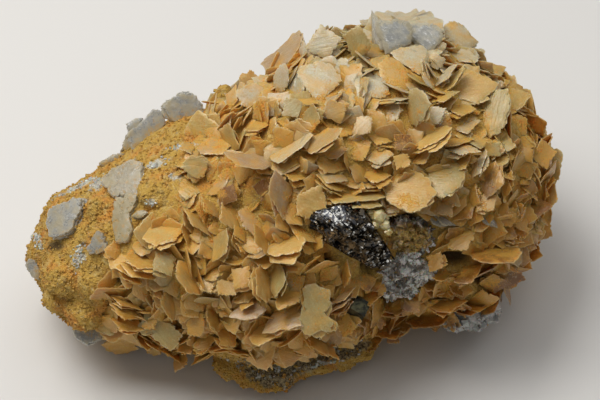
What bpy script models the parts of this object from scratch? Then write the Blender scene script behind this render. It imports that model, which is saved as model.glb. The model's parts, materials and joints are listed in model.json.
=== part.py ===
"""Calcite blades with pyrite on a limonite-coated rock, as separate solids. Metres, +Z up.

The specimen rests on its flat cut base at z = 0, its long side along X and its show side facing -Y.
Its form is drawn in one view, a frame of 600 by 400 pixels seen from above the front: the stations
give the rock's outline there, and each listed blade has its middle in pixels and its size in millimetres.
"""

import math
import random
from collections import namedtuple

import bmesh
import bpy
from mathutils import Matrix, Vector, noise
from mathutils.bvhtree import BVHTree

COLLECTION = "calcite_with_pyrite"
SEED = 5
MM = 0.001

# The view in which the outline and the blades are placed.
FRAME_WIDTH, FRAME_MIDDLE = 600, (300, 200)
SEEN_WIDTH = 160 * MM
PIXEL = SEEN_WIDTH / FRAME_WIDTH
VIEW_ELEVATION = math.radians(48)
VIEW_DISTANCE = 600 * MM
VIEW_TARGET = Vector((2 * MM, -3 * MM, 36 * MM))
RIGHT = Vector((1, 0, 0))
UP = Vector((0, math.sin(VIEW_ELEVATION), math.cos(VIEW_ELEVATION)))
TOWARD = Vector((0, -math.cos(VIEW_ELEVATION), math.sin(VIEW_ELEVATION)))

# The rock's outline under the blades: columns of the view, with the height of the rock's axis in millimetres.
Station = namedtuple("Station", "px top bottom axis")
STATIONS = (
    Station(31, 243, 268, 22),
    Station(40, 219, 285, 23),
    Station(54, 193, 311, 24),
    Station(72, 185, 322, 25),
    Station(90, 178, 330, 26),
    Station(110, 162, 335, 27),
    Station(140, 143, 338, 29),
    Station(170, 123, 342, 30),
    Station(200, 112, 350, 31),
    Station(230, 102, 356, 31),
    Station(260, 88, 362, 32),
    Station(290, 60, 363, 33),
    Station(320, 46, 354, 34),
    Station(350, 38, 342, 34),
    Station(380, 30, 332, 34),
    Station(410, 28, 322, 34),
    Station(440, 40, 317, 33),
    Station(470, 58, 310, 33),
    Station(498, 84, 288, 33),
    Station(520, 108, 252, 34),
    Station(534, 132, 226, 35),
    Station(544, 158, 202, 36),
)
HEIGHT_SHARE = 0.67  # how much of a section's apparent half height comes from its height, not its depth
END_ROUNDING = 1.5 * MM
BROAD_BUMP, BROAD_SCALE = 1.5 * MM, 19 * MM
SMALL_BUMP, SMALL_SCALE = 0.8 * MM, 6.5 * MM
MATRIX_SIDES = 16
MATRIX_RINGS = (0, 0.5, 1, 1.6, 2.3, 3, 3.6, 4.2, 4.8, 5.4, 6, 7.5, 10, 12.5, 15, 17.5, 19, 20)
CRUST_SIDES = 16
CRUST_RINGS = (4.4, 5, 5.6, 6.5, 8, 10, 12, 14, 16, 18, 19, 20, 21)
FORM_SIDES = 48

# The crust covers the right three quarters. Its left border, as degrees round the section to a column.
CRUST_START = ((0, 218), (45, 216), (70, 200), (90, 182), (110, 165), (128, 128), (145, 116),
               (170, 107), (205, 102), (235, 108), (270, 130), (330, 200), (360, 218))
# The crust's lower border: columns to millimetres above the floor, at the front and at the back.
FRONT_FOOT = ((100, 6), (190, 8), (228, 16), (355, 16), (405, 8), (560, 5))
BACK_FOOT = 9
CRUST_DEPTH = 5 * MM
CRUST_SINK = 15 * MM
CRUST_UNDER = 1.2 * MM  # how deep the crust's own surface lies between the blades
CRUST_SLOPE, EDGE_MARGIN = 5 * MM, 3 * MM
BARE_BORDER = 6 * MM
BORDER_WANDER = 5 * MM
WANDER_TURN, WANDER_RISE = 22, 13 * MM  # the degrees and the height over which the border wanders
MOST_SUNK = 0.75  # of a section's smaller half size
GAP = 0.3 * MM
POCKET_GAP, CRYSTAL_GAP = 1.3 * GAP, 1.6 * GAP
TABLET_FACE = 0.86
FLOOR_CLEARANCE = 0.6 * MM

# Calcite blades as seen in the view: middle in pixels, length and width in millimetres, the long axis's
# turn in degrees from the view's right, which way the face tips (1 up, -1 down), and its lift off the rest.
Blade = namedtuple("Blade", "px py long wide turn face lift", defaults=(1, 0))
BLADE_THICK = 1.9 * MM
LEAST_LISTED, MANY_SIDED = 6.6, 11.5
FEW_CORNERS, MANY_CORNERS = (0, 84, 180, 264), (0, 54, 126, 180, 234, 306)
CORNER_TURN, CORNER_SIZE = 8, (0.92, 1.06)  # how far a corner strays: degrees, and shares of its reach
WIDTH_GAIN = 1.14
LEAN = 0.22
ROOT_DEPTH, FLAT_ROOT_DEPTH = 2.4 * MM, -0.9 * MM
RIM_SINK = 1.6 * MM
MOST_UNPROPPED = 0.7
PROP_LENGTH, PROP_FOOT, PROP_ROOT = 0.62, 0.8, 3 * MM
PROP_REACH = 1.3  # of the way from a blade beside the rock to the rock
FULL_WIDTH_SHARE = 0.8
MOST_TILT = math.radians(66)
FLAT_TILT = math.radians(24)

LEFT_BLADES = (
    Blade(195, 166, 8.4, 7.0, 60), Blade(192, 187, 8.6, 5.0, 0), Blade(209, 170, 4.4, 3.2, 40),
    Blade(183, 198, 5.2, 2.8, -10), Blade(217, 146, 11.0, 5.6, 10, 1, 0.8),
    Blade(249, 160, 14.2, 4.2, -14, 1, 0.6), Blade(250, 80, 6.0, 5.0, 0),
    Blade(251, 94, 6.8, 5.2, 5, 1, 0.8), Blade(233, 98, 8.0, 3.2, 72),
    Blade(258, 127, 8.5, 2.6, 15), Blade(288, 126, 7.0, 2.6, -25), Blade(292, 109, 7.4, 5.8, 30),
    Blade(298, 149, 15.4, 4.6, 27, 1, 0.8), Blade(216, 188, 9.0, 4.6, 38),
    Blade(228, 195, 6.6, 5.0, 65, 1, 1),
    Blade(211, 209, 8.8, 3.4, -50), Blade(236, 190, 5.6, 2.4, 85), Blade(250, 189, 9.4, 6.4, 80),
    Blade(263, 190, 6.0, 5.0, 80), Blade(279, 196, 12.8, 6.4, 104, 1, 1), Blade(265, 202, 3.8, 1.8, 0),
    Blade(249, 221, 10.2, 7.0, -30), Blade(229, 217, 9.4, 5.6, -62), Blade(240, 234, 5.8, 3.2, -58, 1, 1),
    Blade(262, 242, 10.4, 3.6, -62), Blade(188, 224, 9.6, 2.6, -62), Blade(198, 223, 10.8, 3.2, -48),
    Blade(163, 235, 12.0, 5.6, 15), Blade(147, 226, 5.0, 3.6, 20), Blade(164, 263, 8.8, 6.6, -55, 1, 0.6),
    Blade(188, 278, 11.8, 5.2, -58, 1, 0.6), Blade(141, 262, 11.0, 4.0, -20, 1, 1),
    Blade(138, 270, 11.0, 4.4, -24),
    Blade(128, 276, 9.0, 3.0, -34), Blade(209, 246, 4.8, 2.6, -35), Blade(221, 246, 9.8, 4.6, 66, 1, 0.6),
    Blade(235, 245, 6.6, 2.2, -72), Blade(244, 250, 5.6, 1.8, -42), Blade(235, 262, 6.6, 2.4, 8),
    Blade(213, 273, 7.0, 3.8, 35), Blade(208, 286, 5.4, 4.0, 30), Blade(241, 278, 7.8, 6.0, 60, 1, 0.6),
    Blade(226, 288, 6.4, 4.8, -40),
)
LOWER_LEFT_BLADES = (
    Blade(213, 319, 8.2, 3.4, -75), Blade(222, 304, 5.0, 3.0, -35), Blade(232, 299, 5.0, 3.4, 60),
    Blade(197, 328, 6.6, 5.0, 75), Blade(191, 310, 5.8, 4.2, -40), Blade(170, 304, 9.8, 4.6, 97),
    Blade(151, 300, 6.6, 2.8, 102), Blade(158, 294, 3.8, 2.8, -60), Blade(127, 304, 10.0, 2.6, -26),
    Blade(127, 313, 10.4, 4.0, -26), Blade(126, 324, 9.8, 4.8, -18), Blade(151, 322, 5.6, 4.2, 40),
    Blade(170, 331, 9.0, 7.4, 55, 1, 0.6), Blade(155, 351, 3.8, 2.0, -10, -1),
    Blade(120, 349, 10.4, 3.8, -6, -1),
    Blade(181, 361, 7.8, 3.8, 65), Blade(206, 342, 7.0, 4.6, 20), Blade(226, 338, 7.6, 5.0, -40),
    Blade(186, 347, 6.0, 4.4, 30),
)
CENTRE_BLADES = (
    Blade(293, 177, 8.0, 3.0, -12), Blade(300, 188, 6.4, 4.2, 10), Blade(330, 163, 9.8, 5.6, -15),
    Blade(332, 176, 9.4, 4.2, -20), Blade(330, 184, 9.4, 2.6, -28), Blade(322, 142, 13.0, 4.6, 28),
    Blade(336, 154, 8.6, 4.0, 15), Blade(310, 202, 8.2, 7.2, 10, 1, 0.8), Blade(288, 214, 5.6, 2.4, 32),
    Blade(291, 223, 4.0, 1.8, 30), Blade(276, 219, 6.2, 4.2, 78), Blade(262, 283, 12.0, 4.4, 97),
    Blade(278, 279, 11.0, 5.0, 85), Blade(286, 247, 11.6, 5.2, 12, 1, 0.8), Blade(290, 263, 6.8, 2.0, -3),
    Blade(317, 243, 6.2, 3.4, 70), Blade(318, 257, 5.0, 2.6, -52), Blade(347, 273, 8.4, 2.8, 83),
    Blade(343, 297, 8.8, 2.4, 32, 1, 1), Blade(342, 305, 9.0, 4.0, 38), Blade(316, 298, 8.8, 7.0, 75, 1, 1.5),
    Blade(325, 318, 7.6, 5.0, -25, 1, 1), Blade(309, 322, 6.8, 4.8, 30, 1, 0.5),
    Blade(287, 297, 9.4, 5.2, 10), Blade(262, 334, 11.0, 4.8, 26, 1, 1),
    Blade(286, 318, 11.4, 6.0, 14), Blade(249, 309, 9.6, 5.6, 12, 1, 0.6),
    Blade(247, 296, 7.6, 3.2, 26), Blade(316, 342, 10.6, 3.6, -50), Blade(326, 350, 9.8, 3.2, -48),
    Blade(346, 325, 7.6, 5.6, 80), Blade(357, 320, 6.6, 2.6, -45), Blade(369, 345, 7.8, 4.0, 12),
    Blade(393, 335, 5.6, 4.4, 50), Blade(371, 299, 7.4, 3.8, 20), Blade(375, 287, 4.6, 3.0, 30),
    Blade(396, 310, 6.6, 3.4, 10), Blade(347, 200, 11.8, 4.2, -3), Blade(375, 175, 9.2, 4.4, -8),
    Blade(372, 185, 8.0, 2.2, -2), Blade(410, 195, 14.4, 10.0, 8, 1, 2), Blade(389, 207, 5.4, 3.8, 28, 1, 1),
    Blade(437, 181, 14.0, 9.2, 22, 1, 0.6), Blade(445, 209, 5.8, 4.6, -48), Blade(443, 221, 6.8, 2.6, -28),
)
UPPER_BLADES = (
    Blade(312, 119, 8.2, 5.4, 80), Blade(335, 111, 7.6, 6.2, 25), Blade(347, 101, 5.8, 3.4, -58),
    Blade(376, 90, 7.8, 5.6, -14, 1, 0.6), Blade(393, 76, 8.8, 5.8, -32), Blade(363, 98, 6.2, 3.2, -70),
    Blade(392, 113, 6.8, 4.8, 58), Blade(414, 107, 9.8, 4.2, 82), Blade(436, 115, 6.8, 4.8, 32),
    Blade(363, 125, 7.0, 5.2, 48), Blade(380, 140, 6.6, 3.6, -14), Blade(402, 143, 6.2, 4.8, -48),
    Blade(432, 138, 12.0, 3.4, 28), Blade(453, 142, 11.4, 2.4, 8), Blade(461, 150, 10.4, 2.6, -4),
    Blade(402, 161, 6.0, 4.8, -30), Blade(380, 157, 8.2, 4.4, 10), Blade(360, 152, 6.6, 4.8, 30),
    Blade(345, 132, 7.0, 4.0, -20), Blade(422, 157, 7.4, 4.2, 40), Blade(468, 127, 8.0, 4.4, 15),
    Blade(463, 163, 8.0, 3.4, 42), Blade(477, 168, 9.0, 3.2, 52), Blade(443, 98, 9.0, 2.4, 20),
    Blade(462, 111, 8.4, 3.6, -4), Blade(446, 76, 9.4, 2.0, 45), Blade(454, 81, 9.6, 2.0, 46),
)
CREST_BLADES = (
    Blade(283, 54, 14.0, 6.0, 44), Blade(281, 81, 9.8, 4.6, 84), Blade(297, 86, 8.2, 4.2, 80),
    Blade(326, 80, 12.6, 9.2, 22, 1, 1), Blade(324, 43, 11.4, 9.0, 12), Blade(357, 42, 9.8, 7.8, 80),
    Blade(375, 33, 11.0, 2.6, 87), Blade(393, 40, 9.0, 8.4, 30), Blade(427, 37, 9.4, 7.6, -20),
    Blade(408, 64, 10.4, 6.8, -12, 1, 1), Blade(438, 62, 5.0, 4.2, 0), Blade(460, 36, 9.6, 5.8, -38),
    Blade(463, 58, 7.8, 3.8, 3), Blade(473, 84, 13.4, 9.0, 9, 1, 1.5), Blade(491, 68, 6.4, 2.8, -8),
    Blade(494, 115, 11.4, 7.8, 72, 1, 1),
)
RIGHT_BLADES = (
    Blade(517, 125, 8.8, 5.8, -52), Blade(513, 93, 8.6, 5.2, -45), Blade(536, 127, 8.4, 3.6, -50),
    Blade(543, 155, 8.4, 6.2, 105), Blade(492, 149, 6.0, 4.8, -40), Blade(513, 147, 6.0, 4.2, -42),
    Blade(508, 157, 4.2, 3.6, 0), Blade(527, 155, 5.6, 4.4, -48), Blade(492, 180, 10.6, 6.6, 78, 1, 0.6),
    Blade(505, 186, 7.6, 4.4, 84), Blade(528, 173, 6.0, 3.8, 30), Blade(528, 192, 5.6, 4.0, 42),
    Blade(543, 194, 6.0, 4.0, 80), Blade(538, 209, 8.0, 4.4, 8, 1, 1), Blade(473, 199, 8.4, 3.8, 76),
    Blade(487, 203, 7.0, 5.2, 40), Blade(503, 211, 5.8, 4.2, 70), Blade(514, 211, 6.2, 3.4, 80),
    Blade(488, 221, 6.4, 2.6, -38), Blade(509, 218, 5.6, 4.6, 20), Blade(520, 225, 6.4, 3.8, -60),
    Blade(531, 231, 5.2, 3.2, 85),
)
LOWER_RIGHT_BLADES = (
    Blade(462, 240, 8.8, 5.6, 30), Blade(496, 255, 15.0, 5.8, 4), Blade(510, 242, 7.8, 2.0, 2, 1, 1),
    Blade(508, 234, 5.8, 3.6, -25), Blade(468, 275, 9.6, 4.6, 32), Blade(441, 277, 7.6, 2.8, -5),
    Blade(435, 263, 6.4, 4.8, 60), Blade(430, 288, 6.2, 2.8, -15), Blade(455, 291, 5.8, 2.2, -45),
    Blade(494, 283, 9.6, 5.0, 5, -1), Blade(449, 305, 10.4, 4.0, 12, 1, 0.6), Blade(426, 321, 12.0, 4.6, 5),
    Blade(411, 306, 6.2, 4.8, -50), Blade(481, 300, 11.0, 4.6, 5, -1), Blade(404, 325, 7.0, 4.2, 30),
)
CRUST_BLADES = (LEFT_BLADES + LOWER_LEFT_BLADES + CENTRE_BLADES + UPPER_BLADES + CREST_BLADES
                + RIGHT_BLADES + LOWER_RIGHT_BLADES)

# Blades between and behind the listed ones, which stand on edge in sheaves that turn slowly over the crust.
FILL_TRIES = 5200
FRONT_SPACING, BACK_SPACING = 7.0 * MM, 8.2 * MM
LISTED_SPACING = 3.6 * MM
FILL_LONG, FILL_WIDE = (8.5, 12.0), (7.0, 9.0)
FILL_RAISED = (0.16, 0, -0.14)  # how far out a blade's middle stands, in widths: the first that hides none
FILL_PLACES, FILL_ANGLES = (4.5, 21), (-60, 250)  # stations along the rock, and degrees round it
BACK_GROWN = 1.4
FRONT_STAND, BACK_STAND = (30, 62), (22, 52)  # degrees between a blade's face and the crust
SHEAF_SCALE, SHEAF_TURN = 26 * MM, 2.6 * math.pi
BORDER_MARGIN = 2.5 * MM
HIDING_REACH = 0.32  # of a listed blade's length, from its middle
FRONT_FACING = 0.1

# Crystals that stand free on the bare rock, by node: their blades and how thick each is, in millimetres.
# Those that lie follow the rock's slope, and the others face the viewer with their foot in the rock.
Tablet = namedtuple("Tablet", "blade thick lying")
FREE_CRYSTALS = {
    "grey_tabular_crystal": (Tablet(Blade(66, 222, 10.6, 8.8, 60, 1, 2.6), 3.6, True),),
    "grey_pointed_crystal": (Tablet(Blade(101, 242, 6.4, 4.8, 82, 1, 2.4), 2.8, True),),
    "broad_plate": (Tablet(Blade(124, 180, 11.4, 8.2, 12, 1, 2.6), 1.8, True),),
    "tall_plate": (Tablet(Blade(124, 221, 13.4, 6.8, 78, 1, 2.8), 1.8, True),
                   Tablet(Blade(139, 216, 5.2, 3.2, 20, 1, 2.4), 1.4, True)),
    "ridge_plate_right": (Tablet(Blade(182, 109, 12.6, 8.2, 4, 0, -1.6), 1.8, False),),
    "ridge_plate_left": (Tablet(Blade(147, 131, 12.0, 7.0, 38, 0, -1.2), 1.8, False),
                         Tablet(Blade(131, 128, 5.0, 3.0, 70, 0, -1.2), 1.6, False)),
    "ridge_plates_low": (Tablet(Blade(112, 160, 7.8, 4.0, 26, 0, -1.0), 1.6, False),
                         Tablet(Blade(123, 146, 5.8, 3.6, 72, 0, -1.0), 1.6, False)),
    "edge_crystal": (Tablet(Blade(35, 270, 7.0, 3.6, -62, 0, -1.0), 2.0, False),),
    "underside_crystal": (Tablet(Blade(86, 331, 9.2, 6.4, -35, 0, -1.0), 2.4, False),),
}
LYING_LIFT = 0.4  # how much a lying crystal's face turns from the rock's slope to the viewer

# Rounded lumps of the bare rock, and the broken rock lip: a pixel, the depth of its middle under the
# surface seen there, and three half sizes, all in millimetres.
Lump = namedtuple("Lump", "px py sunk sizes")
ROCK_LUMPS = (
    Lump(86, 312, 2.2, (5.6, 5.2, 4.8)),
    Lump(58, 300, 1.8, (4.2, 4.0, 3.6)),
    Lump(66, 276, 3.4, (6.8, 6.0, 5.0)),
    Lump(96, 282, 3.2, (5.4, 5.0, 4.4)),
    Lump(103, 210, 3.4, (4.8, 5.2, 4.6)),
    Lump(160, 192, 3.0, (6.2, 6.6, 4.4)),
    Lump(224, 98, 2.0, (2.6, 3.6, 4.4)),
)
LIP_LEDGES = (
    Lump(230, 362, 3.0, (5.4, 6.4, 3.4)),
    Lump(247, 367, 2.4, (5.6, 7.0, 3.6)),
    Lump(268, 374, 1.4, (6.4, 7.0, 4.0)),
    Lump(284, 371, 1.6, (4.6, 6.6, 4.2)),
    Lump(303, 361, 2.2, (6.6, 6.2, 3.6)),
    Lump(322, 358, 2.2, (5.4, 6.0, 3.4)),
    Lump(341, 353, 2.2, (5.6, 6.0, 3.4)),
    Lump(360, 347, 2.4, (5.0, 5.6, 3.2)),
)

# Pyrite cubes that make the central cluster: middle in pixels and edge in millimetres.
Cube = namedtuple("Cube", "px py edge")
PYRITE_CUBES = (
    Cube(321, 219, 4.6), Cube(336, 221, 5.6), Cube(350, 218, 5.6), Cube(365, 213, 4.6), Cube(332, 232, 5.8),
    Cube(347, 229, 8.0), Cube(361, 224, 6.6), Cube(343, 246, 6.2), Cube(358, 241, 8.6), Cube(372, 241, 6.6),
    Cube(380, 250, 5.2), Cube(368, 254, 6.8), Cube(352, 252, 5.0), Cube(376, 261, 4.4),
)
SMALL_CUBE = Cube(358, 308, 3.8)
QUARTZ_POINTS = (
    Cube(399, 232, 7.0), Cube(417, 236, 7.2), Cube(404, 249, 6.8), Cube(391, 268, 6.6), Cube(407, 264, 7.0),
    Cube(421, 268, 5.8), Cube(404, 281, 7.0), Cube(388, 286, 5.8),
)
WHITE_POINTS = (Cube(452, 315, 6.4), Cube(464, 312, 7.2), Cube(475, 314, 6.8), Cube(485, 310, 5.8))
PALE_GRAIN = Cube(378, 219, 4.6)
PYRITE_PROUD, CUBE_PROUD, DRUSE_PROUD, GRAIN_PROUD = 3.4 * MM, 2.4 * MM, 1.0 * MM, 3.2 * MM
BALL_SHARE = 0.62  # of a quartz point's edge, for its half size

# The minerals, by the node they make: material, colour, roughness, metallic and transmission.
Mineral = namedtuple("Mineral", "name colour roughness metallic transmission", defaults=(0.0, 0.0))
MINERALS = {
    "matrix": Mineral("limonite_rock", (0.56, 0.33, 0.10), 0.9),
    "calcite_blades": Mineral("calcite", (0.68, 0.50, 0.27), 0.45),
    "pyrite_cluster": Mineral("pyrite", (0.16, 0.14, 0.11), 0.3, 1.0),
    "pyrite_cube": Mineral("pyrite_small", (0.16, 0.14, 0.11), 0.3, 1.0),
    "quartz_druse": Mineral("grey_quartz", (0.40, 0.37, 0.32), 0.35),
    "white_druse": Mineral("white_quartz", (0.72, 0.70, 0.66), 0.4),
    "pale_grain": Mineral("pale_calcite", (0.72, 0.66, 0.42), 0.35),
}
FREE_MINERAL = Mineral("grey_calcite", (0.62, 0.61, 0.56), 0.25, 0.0, 0.4)


def between(table, place):
    """The value that a table of (place, value) pairs gives at a place, by straight lines between them."""
    for (left, low), (right, high) in zip(table, table[1:]):
        if place <= right:
            return low + (high - low) * max(0, place - left) / (right - left)
    return table[-1][1]


def smooth(share):
    share = min(max(share, 0), 1)
    return share * share * (3 - 2 * share)


def in_view(px, py, depth=0.0):
    """The point that is seen at a pixel, at a depth towards the viewer from the target's plane."""
    scale = PIXEL * (1 - depth / VIEW_DISTANCE)
    across = (px - FRAME_MIDDLE[0]) * scale
    above = (FRAME_MIDDLE[1] - py) * scale
    return VIEW_TARGET + across * RIGHT + above * UP + depth * TOWARD


def pixel_of(point):
    """The pixel at which a point is seen, and its depth towards the viewer."""
    offset = point - VIEW_TARGET
    depth = offset.dot(TOWARD)
    scale = PIXEL * (1 - depth / VIEW_DISTANCE)
    return FRAME_MIDDLE[0] + offset.dot(RIGHT) / scale, FRAME_MIDDLE[1] - offset.dot(UP) / scale, depth


def section(place):
    """Column, middle, half depth and half height of the rock's section at a place counted in stations."""
    first = min(int(place), len(STATIONS) - 2)
    share = place - first
    last = len(STATIONS) - 1
    before, start, end, after = (Vector(STATIONS[min(max(first + k, 0), last)]) for k in (-1, 0, 1, 2))
    px, top, bottom, axis = 0.5 * (2 * start + (end - before) * share
                                   + (2 * before - 5 * start + 4 * end - after) * share ** 2
                                   + (3 * start - before - 3 * end + after) * share ** 3)
    sine, cosine = math.sin(VIEW_ELEVATION), math.cos(VIEW_ELEVATION)
    half = (bottom - top) / 2 * PIXEL
    seen = (FRAME_MIDDLE[1] - (top + bottom) / 2) * PIXEL
    rise = axis * MM - VIEW_TARGET.z
    back = (seen - rise * cosine) / sine
    scale = 1 - (rise * sine - back * cosine) / VIEW_DISTANCE
    across = (px - FRAME_MIDDLE[0]) * PIXEL * scale
    middle = VIEW_TARGET + Vector((across, (seen * scale - rise * cosine) / sine, rise))
    depth_share = math.sqrt(1 - HEIGHT_SHARE ** 2)
    return px, middle, depth_share * half / sine, HEIGHT_SHARE * half / cosine


def rock_point(place, angle, proud):
    """A point of the rock's surface, at degrees round from the back, which proud() sets out or in."""
    px, middle, depth, height = section(place)
    cosine, sine = math.cos(math.radians(angle)), math.sin(math.radians(angle))
    point = middle + Vector((0, depth * cosine, height * sine))
    out = Vector((0, cosine / depth, sine / height)).normalized()
    bare = 1 - smooth(crust_reach(px, angle, point.z) / BARE_BORDER)
    bumps = BROAD_BUMP * noise.noise(point / BROAD_SCALE)
    bumps += SMALL_BUMP * bare * noise.noise(point / SMALL_SCALE)
    offset = max(-MOST_SUNK * min(depth, height), bumps + proud(px, angle, point.z))
    # Deep offsets go straight towards the section's middle, so that the surface can't fold over itself.
    return point + (out if offset > 0 else (point - middle).normalized()) * offset


def crust_reach(px, angle, z):
    """How far inside the crust's borders a place is, in metres, negative on the bare rock."""
    wander = BORDER_WANDER * noise.noise(Vector((angle / WANDER_TURN, z / WANDER_RISE, 4)))
    beside = (px - between(CRUST_START, angle % 360)) * PIXEL + wander
    foot = between(FRONT_FOOT, px) if 90 < angle % 360 < 270 else BACK_FOOT
    return min(beside, z - foot * MM)


def bare_form(px, angle, z):
    return 0.0


def under_crust(px, angle, z):
    return -CRUST_DEPTH * smooth(crust_reach(px, angle, z) / CRUST_SLOPE)


def crust_top(px, angle, z):
    inside = smooth((crust_reach(px, angle, z) + EDGE_MARGIN) / CRUST_SLOPE)
    return -CRUST_UNDER - CRUST_SINK * (1 - inside)


def new_object(name, mesh_data):
    """An object made from a bmesh, linked to the scene."""
    mesh = bpy.data.meshes.new(name)
    mesh_data.to_mesh(mesh)
    mesh_data.free()
    made = bpy.data.objects.new(name, mesh)
    bpy.context.scene.collection.objects.link(made)
    return made


def lofted(name, places, sides, proud, end=END_ROUNDING):
    """A closed surface round the rock's axis, with rings at these places and a point beyond each end."""
    mesh_data = bmesh.new()
    angles = [360 * k / sides for k in range(sides)]
    rings = [[mesh_data.verts.new(rock_point(place, angle, proud)) for angle in angles] for place in places]
    for ring, following in zip(rings, rings[1:]):
        for k in range(sides):
            mesh_data.faces.new((ring[k], following[k], following[k - 1]))
            mesh_data.faces.new((ring[k], following[k - 1], ring[k - 1]))
    for ring, side in ((rings[0], -1), (rings[-1], 1)):
        middle = sum((vertex.co for vertex in ring), Vector()) / sides
        tip = mesh_data.verts.new(middle + Vector((side * end, 0, 0)))
        for k in range(sides):
            mesh_data.faces.new((ring[k - 1], ring[k], tip)[::side])
    bmesh.ops.recalc_face_normals(mesh_data, faces=mesh_data.faces)
    return new_object(name, mesh_data)


def cut_at_floor(piece):
    """Cuts a closed piece flat at z = 0 and closes the cut."""
    mesh_data = bmesh.new()
    mesh_data.from_mesh(piece.data)
    geometry = mesh_data.verts[:] + mesh_data.edges[:] + mesh_data.faces[:]
    cut = bmesh.ops.bisect_plane(mesh_data, geom=geometry, plane_co=(0, 0, 0), plane_no=(0, 0, -1),
                                 clear_outer=True)
    rim = [item for item in cut["geom_cut"] if isinstance(item, bmesh.types.BMEdge)]
    bmesh.ops.edgeloop_fill(mesh_data, edges=rim)
    bmesh.ops.recalc_face_normals(mesh_data, faces=mesh_data.faces)
    mesh_data.to_mesh(piece.data)
    mesh_data.free()


def baked(piece):
    """Turns a piece's modifiers into its mesh."""
    bpy.context.view_layer.update()
    evaluated = piece.evaluated_get(bpy.context.evaluated_depsgraph_get())
    mesh = bpy.data.meshes.new_from_object(evaluated)
    piece.modifiers.clear()
    old = piece.data
    piece.data = mesh
    bpy.data.meshes.remove(old)
    mesh.name = piece.name


def remove(piece):
    mesh = piece.data
    bpy.data.objects.remove(piece)
    bpy.data.meshes.remove(mesh)


def joined(name, pieces):
    """One mesh that holds these closed pieces as they are, overlapping or not."""
    mesh_data = bmesh.new()
    for piece in pieces:
        mesh_data.from_mesh(piece.data)
    return new_object(name, mesh_data)


def combined(piece, cutters, operation):
    """Fuses a piece's overlapping shapes, and joins the cutters to it or cuts them away, all in one step."""
    tool = joined("tool", cutters)
    modifier = piece.modifiers.new(operation.lower(), "BOOLEAN")
    modifier.operation = operation
    modifier.solver = "EXACT"
    modifier.use_self = True
    modifier.object = tool
    baked(piece)
    remove(tool)
    keep_largest(piece)


def copied(piece, name):
    made = bpy.data.objects.new(name, piece.data.copy())
    bpy.context.scene.collection.objects.link(made)
    return made


def swollen(piece, name, gap):
    """A copy of a closed piece, set out all round by a gap."""
    made = copied(piece, name)
    normals = [vertex.normal.copy() for vertex in made.data.vertices]
    for vertex, normal in zip(made.data.vertices, normals):
        vertex.co += normal * gap
    return made


def hull_of(piece, name, gap):
    """The convex hull of a piece, set out all round by a gap: the pocket that the piece sits in."""
    mesh_data = bmesh.new()
    mesh_data.from_mesh(piece.data)
    hull = bmesh.ops.convex_hull(mesh_data, input=mesh_data.verts)
    inner = [item for item in hull["geom_interior"] if isinstance(item, bmesh.types.BMVert)]
    bmesh.ops.delete(mesh_data, geom=inner, context="VERTS")
    loose = [face for face in mesh_data.faces if face not in set(hull["geom"])]
    bmesh.ops.delete(mesh_data, geom=loose, context="FACES_ONLY")
    bmesh.ops.recalc_face_normals(mesh_data, faces=mesh_data.faces)
    mesh_data.normal_update()
    moves = [(vertex, vertex.normal * gap) for vertex in mesh_data.verts]
    for vertex, move in moves:
        vertex.co += move
    return new_object(name, mesh_data)


def keep_largest(piece):
    """Drops the loose chips that the cuts leave, so that the piece is one body."""
    mesh_data = bmesh.new()
    mesh_data.from_mesh(piece.data)
    waiting = set(mesh_data.faces)
    bodies = []
    while waiting:
        body, edge_of_body = set(), [waiting.pop()]
        while edge_of_body:
            face = edge_of_body.pop()
            body.add(face)
            for edge in face.edges:
                neighbours = [other for other in edge.link_faces if other in waiting]
                waiting.difference_update(neighbours)
                edge_of_body += neighbours
        bodies.append(body)
    largest = max(bodies, key=len)
    chips = [face for face in mesh_data.faces if face not in largest]
    bmesh.ops.delete(mesh_data, geom=chips, context="FACES")
    mesh_data.to_mesh(piece.data)
    mesh_data.free()


def add_blade(mesh_data, corners, normal, thick):
    """Adds a blade to the mesh: a sharp flat outline that rises to a low point on both faces."""
    middle = sum(corners, Vector()) / len(corners)
    half = normal.normalized() * thick / 2
    rim = [mesh_data.verts.new(corner) for corner in corners]
    faces = []
    for point in (middle + half, middle - half):
        top = mesh_data.verts.new(point)
        faces += [mesh_data.faces.new((rim[k - 1], rim[k], top)) for k in range(len(rim))]
    bmesh.ops.recalc_face_normals(mesh_data, faces=faces)


def add_tablet(mesh_data, corners, normal, thick):
    """Adds a flat-faced tablet to the mesh: an outline at mid thickness, and both faces a little smaller."""
    middle = sum(corners, Vector()) / len(corners)
    half = normal.normalized() * thick / 2
    count = len(corners)
    rim = [mesh_data.verts.new(corner) for corner in corners]
    faces = []
    for side in (half, -half):
        level = [mesh_data.verts.new(middle + (corner - middle) * TABLET_FACE + side) for corner in corners]
        faces.append(mesh_data.faces.new(level))
        faces += [mesh_data.faces.new((rim[k - 1], rim[k], level[k], level[k - 1])) for k in range(count)]
    bmesh.ops.recalc_face_normals(mesh_data, faces=faces)


def outline(long, wide, angles, draw):
    """Corner offsets of a blade's outline, pointed at both ends, each corner a little out of place."""
    for angle in angles:
        turn = math.radians(angle + draw.uniform(-CORNER_TURN, CORNER_TURN))
        size = draw.uniform(*CORNER_SIZE)
        yield size * long / 2 * math.cos(turn), size * wide / 2 * math.sin(turn) * WIDTH_GAIN


def seen_normal(blade, draw):
    """The tilt of a listed blade and its face's direction: the narrower it looks, the more it tips."""
    share = min(1, blade.wide / (FULL_WIDTH_SHARE * blade.long))
    tilt = min(MOST_TILT, math.acos(share))
    turn = math.radians(blade.turn)
    along = math.cos(turn) * RIGHT + math.sin(turn) * UP
    across = -math.sin(turn) * RIGHT + math.cos(turn) * UP
    if across.dot(UP) < 0:
        across = -across
    normal = math.cos(tilt) * TOWARD + blade.face * math.sin(tilt) * across
    return tilt, (normal + along * draw.uniform(-LEAN, LEAN)).normalized()


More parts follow.
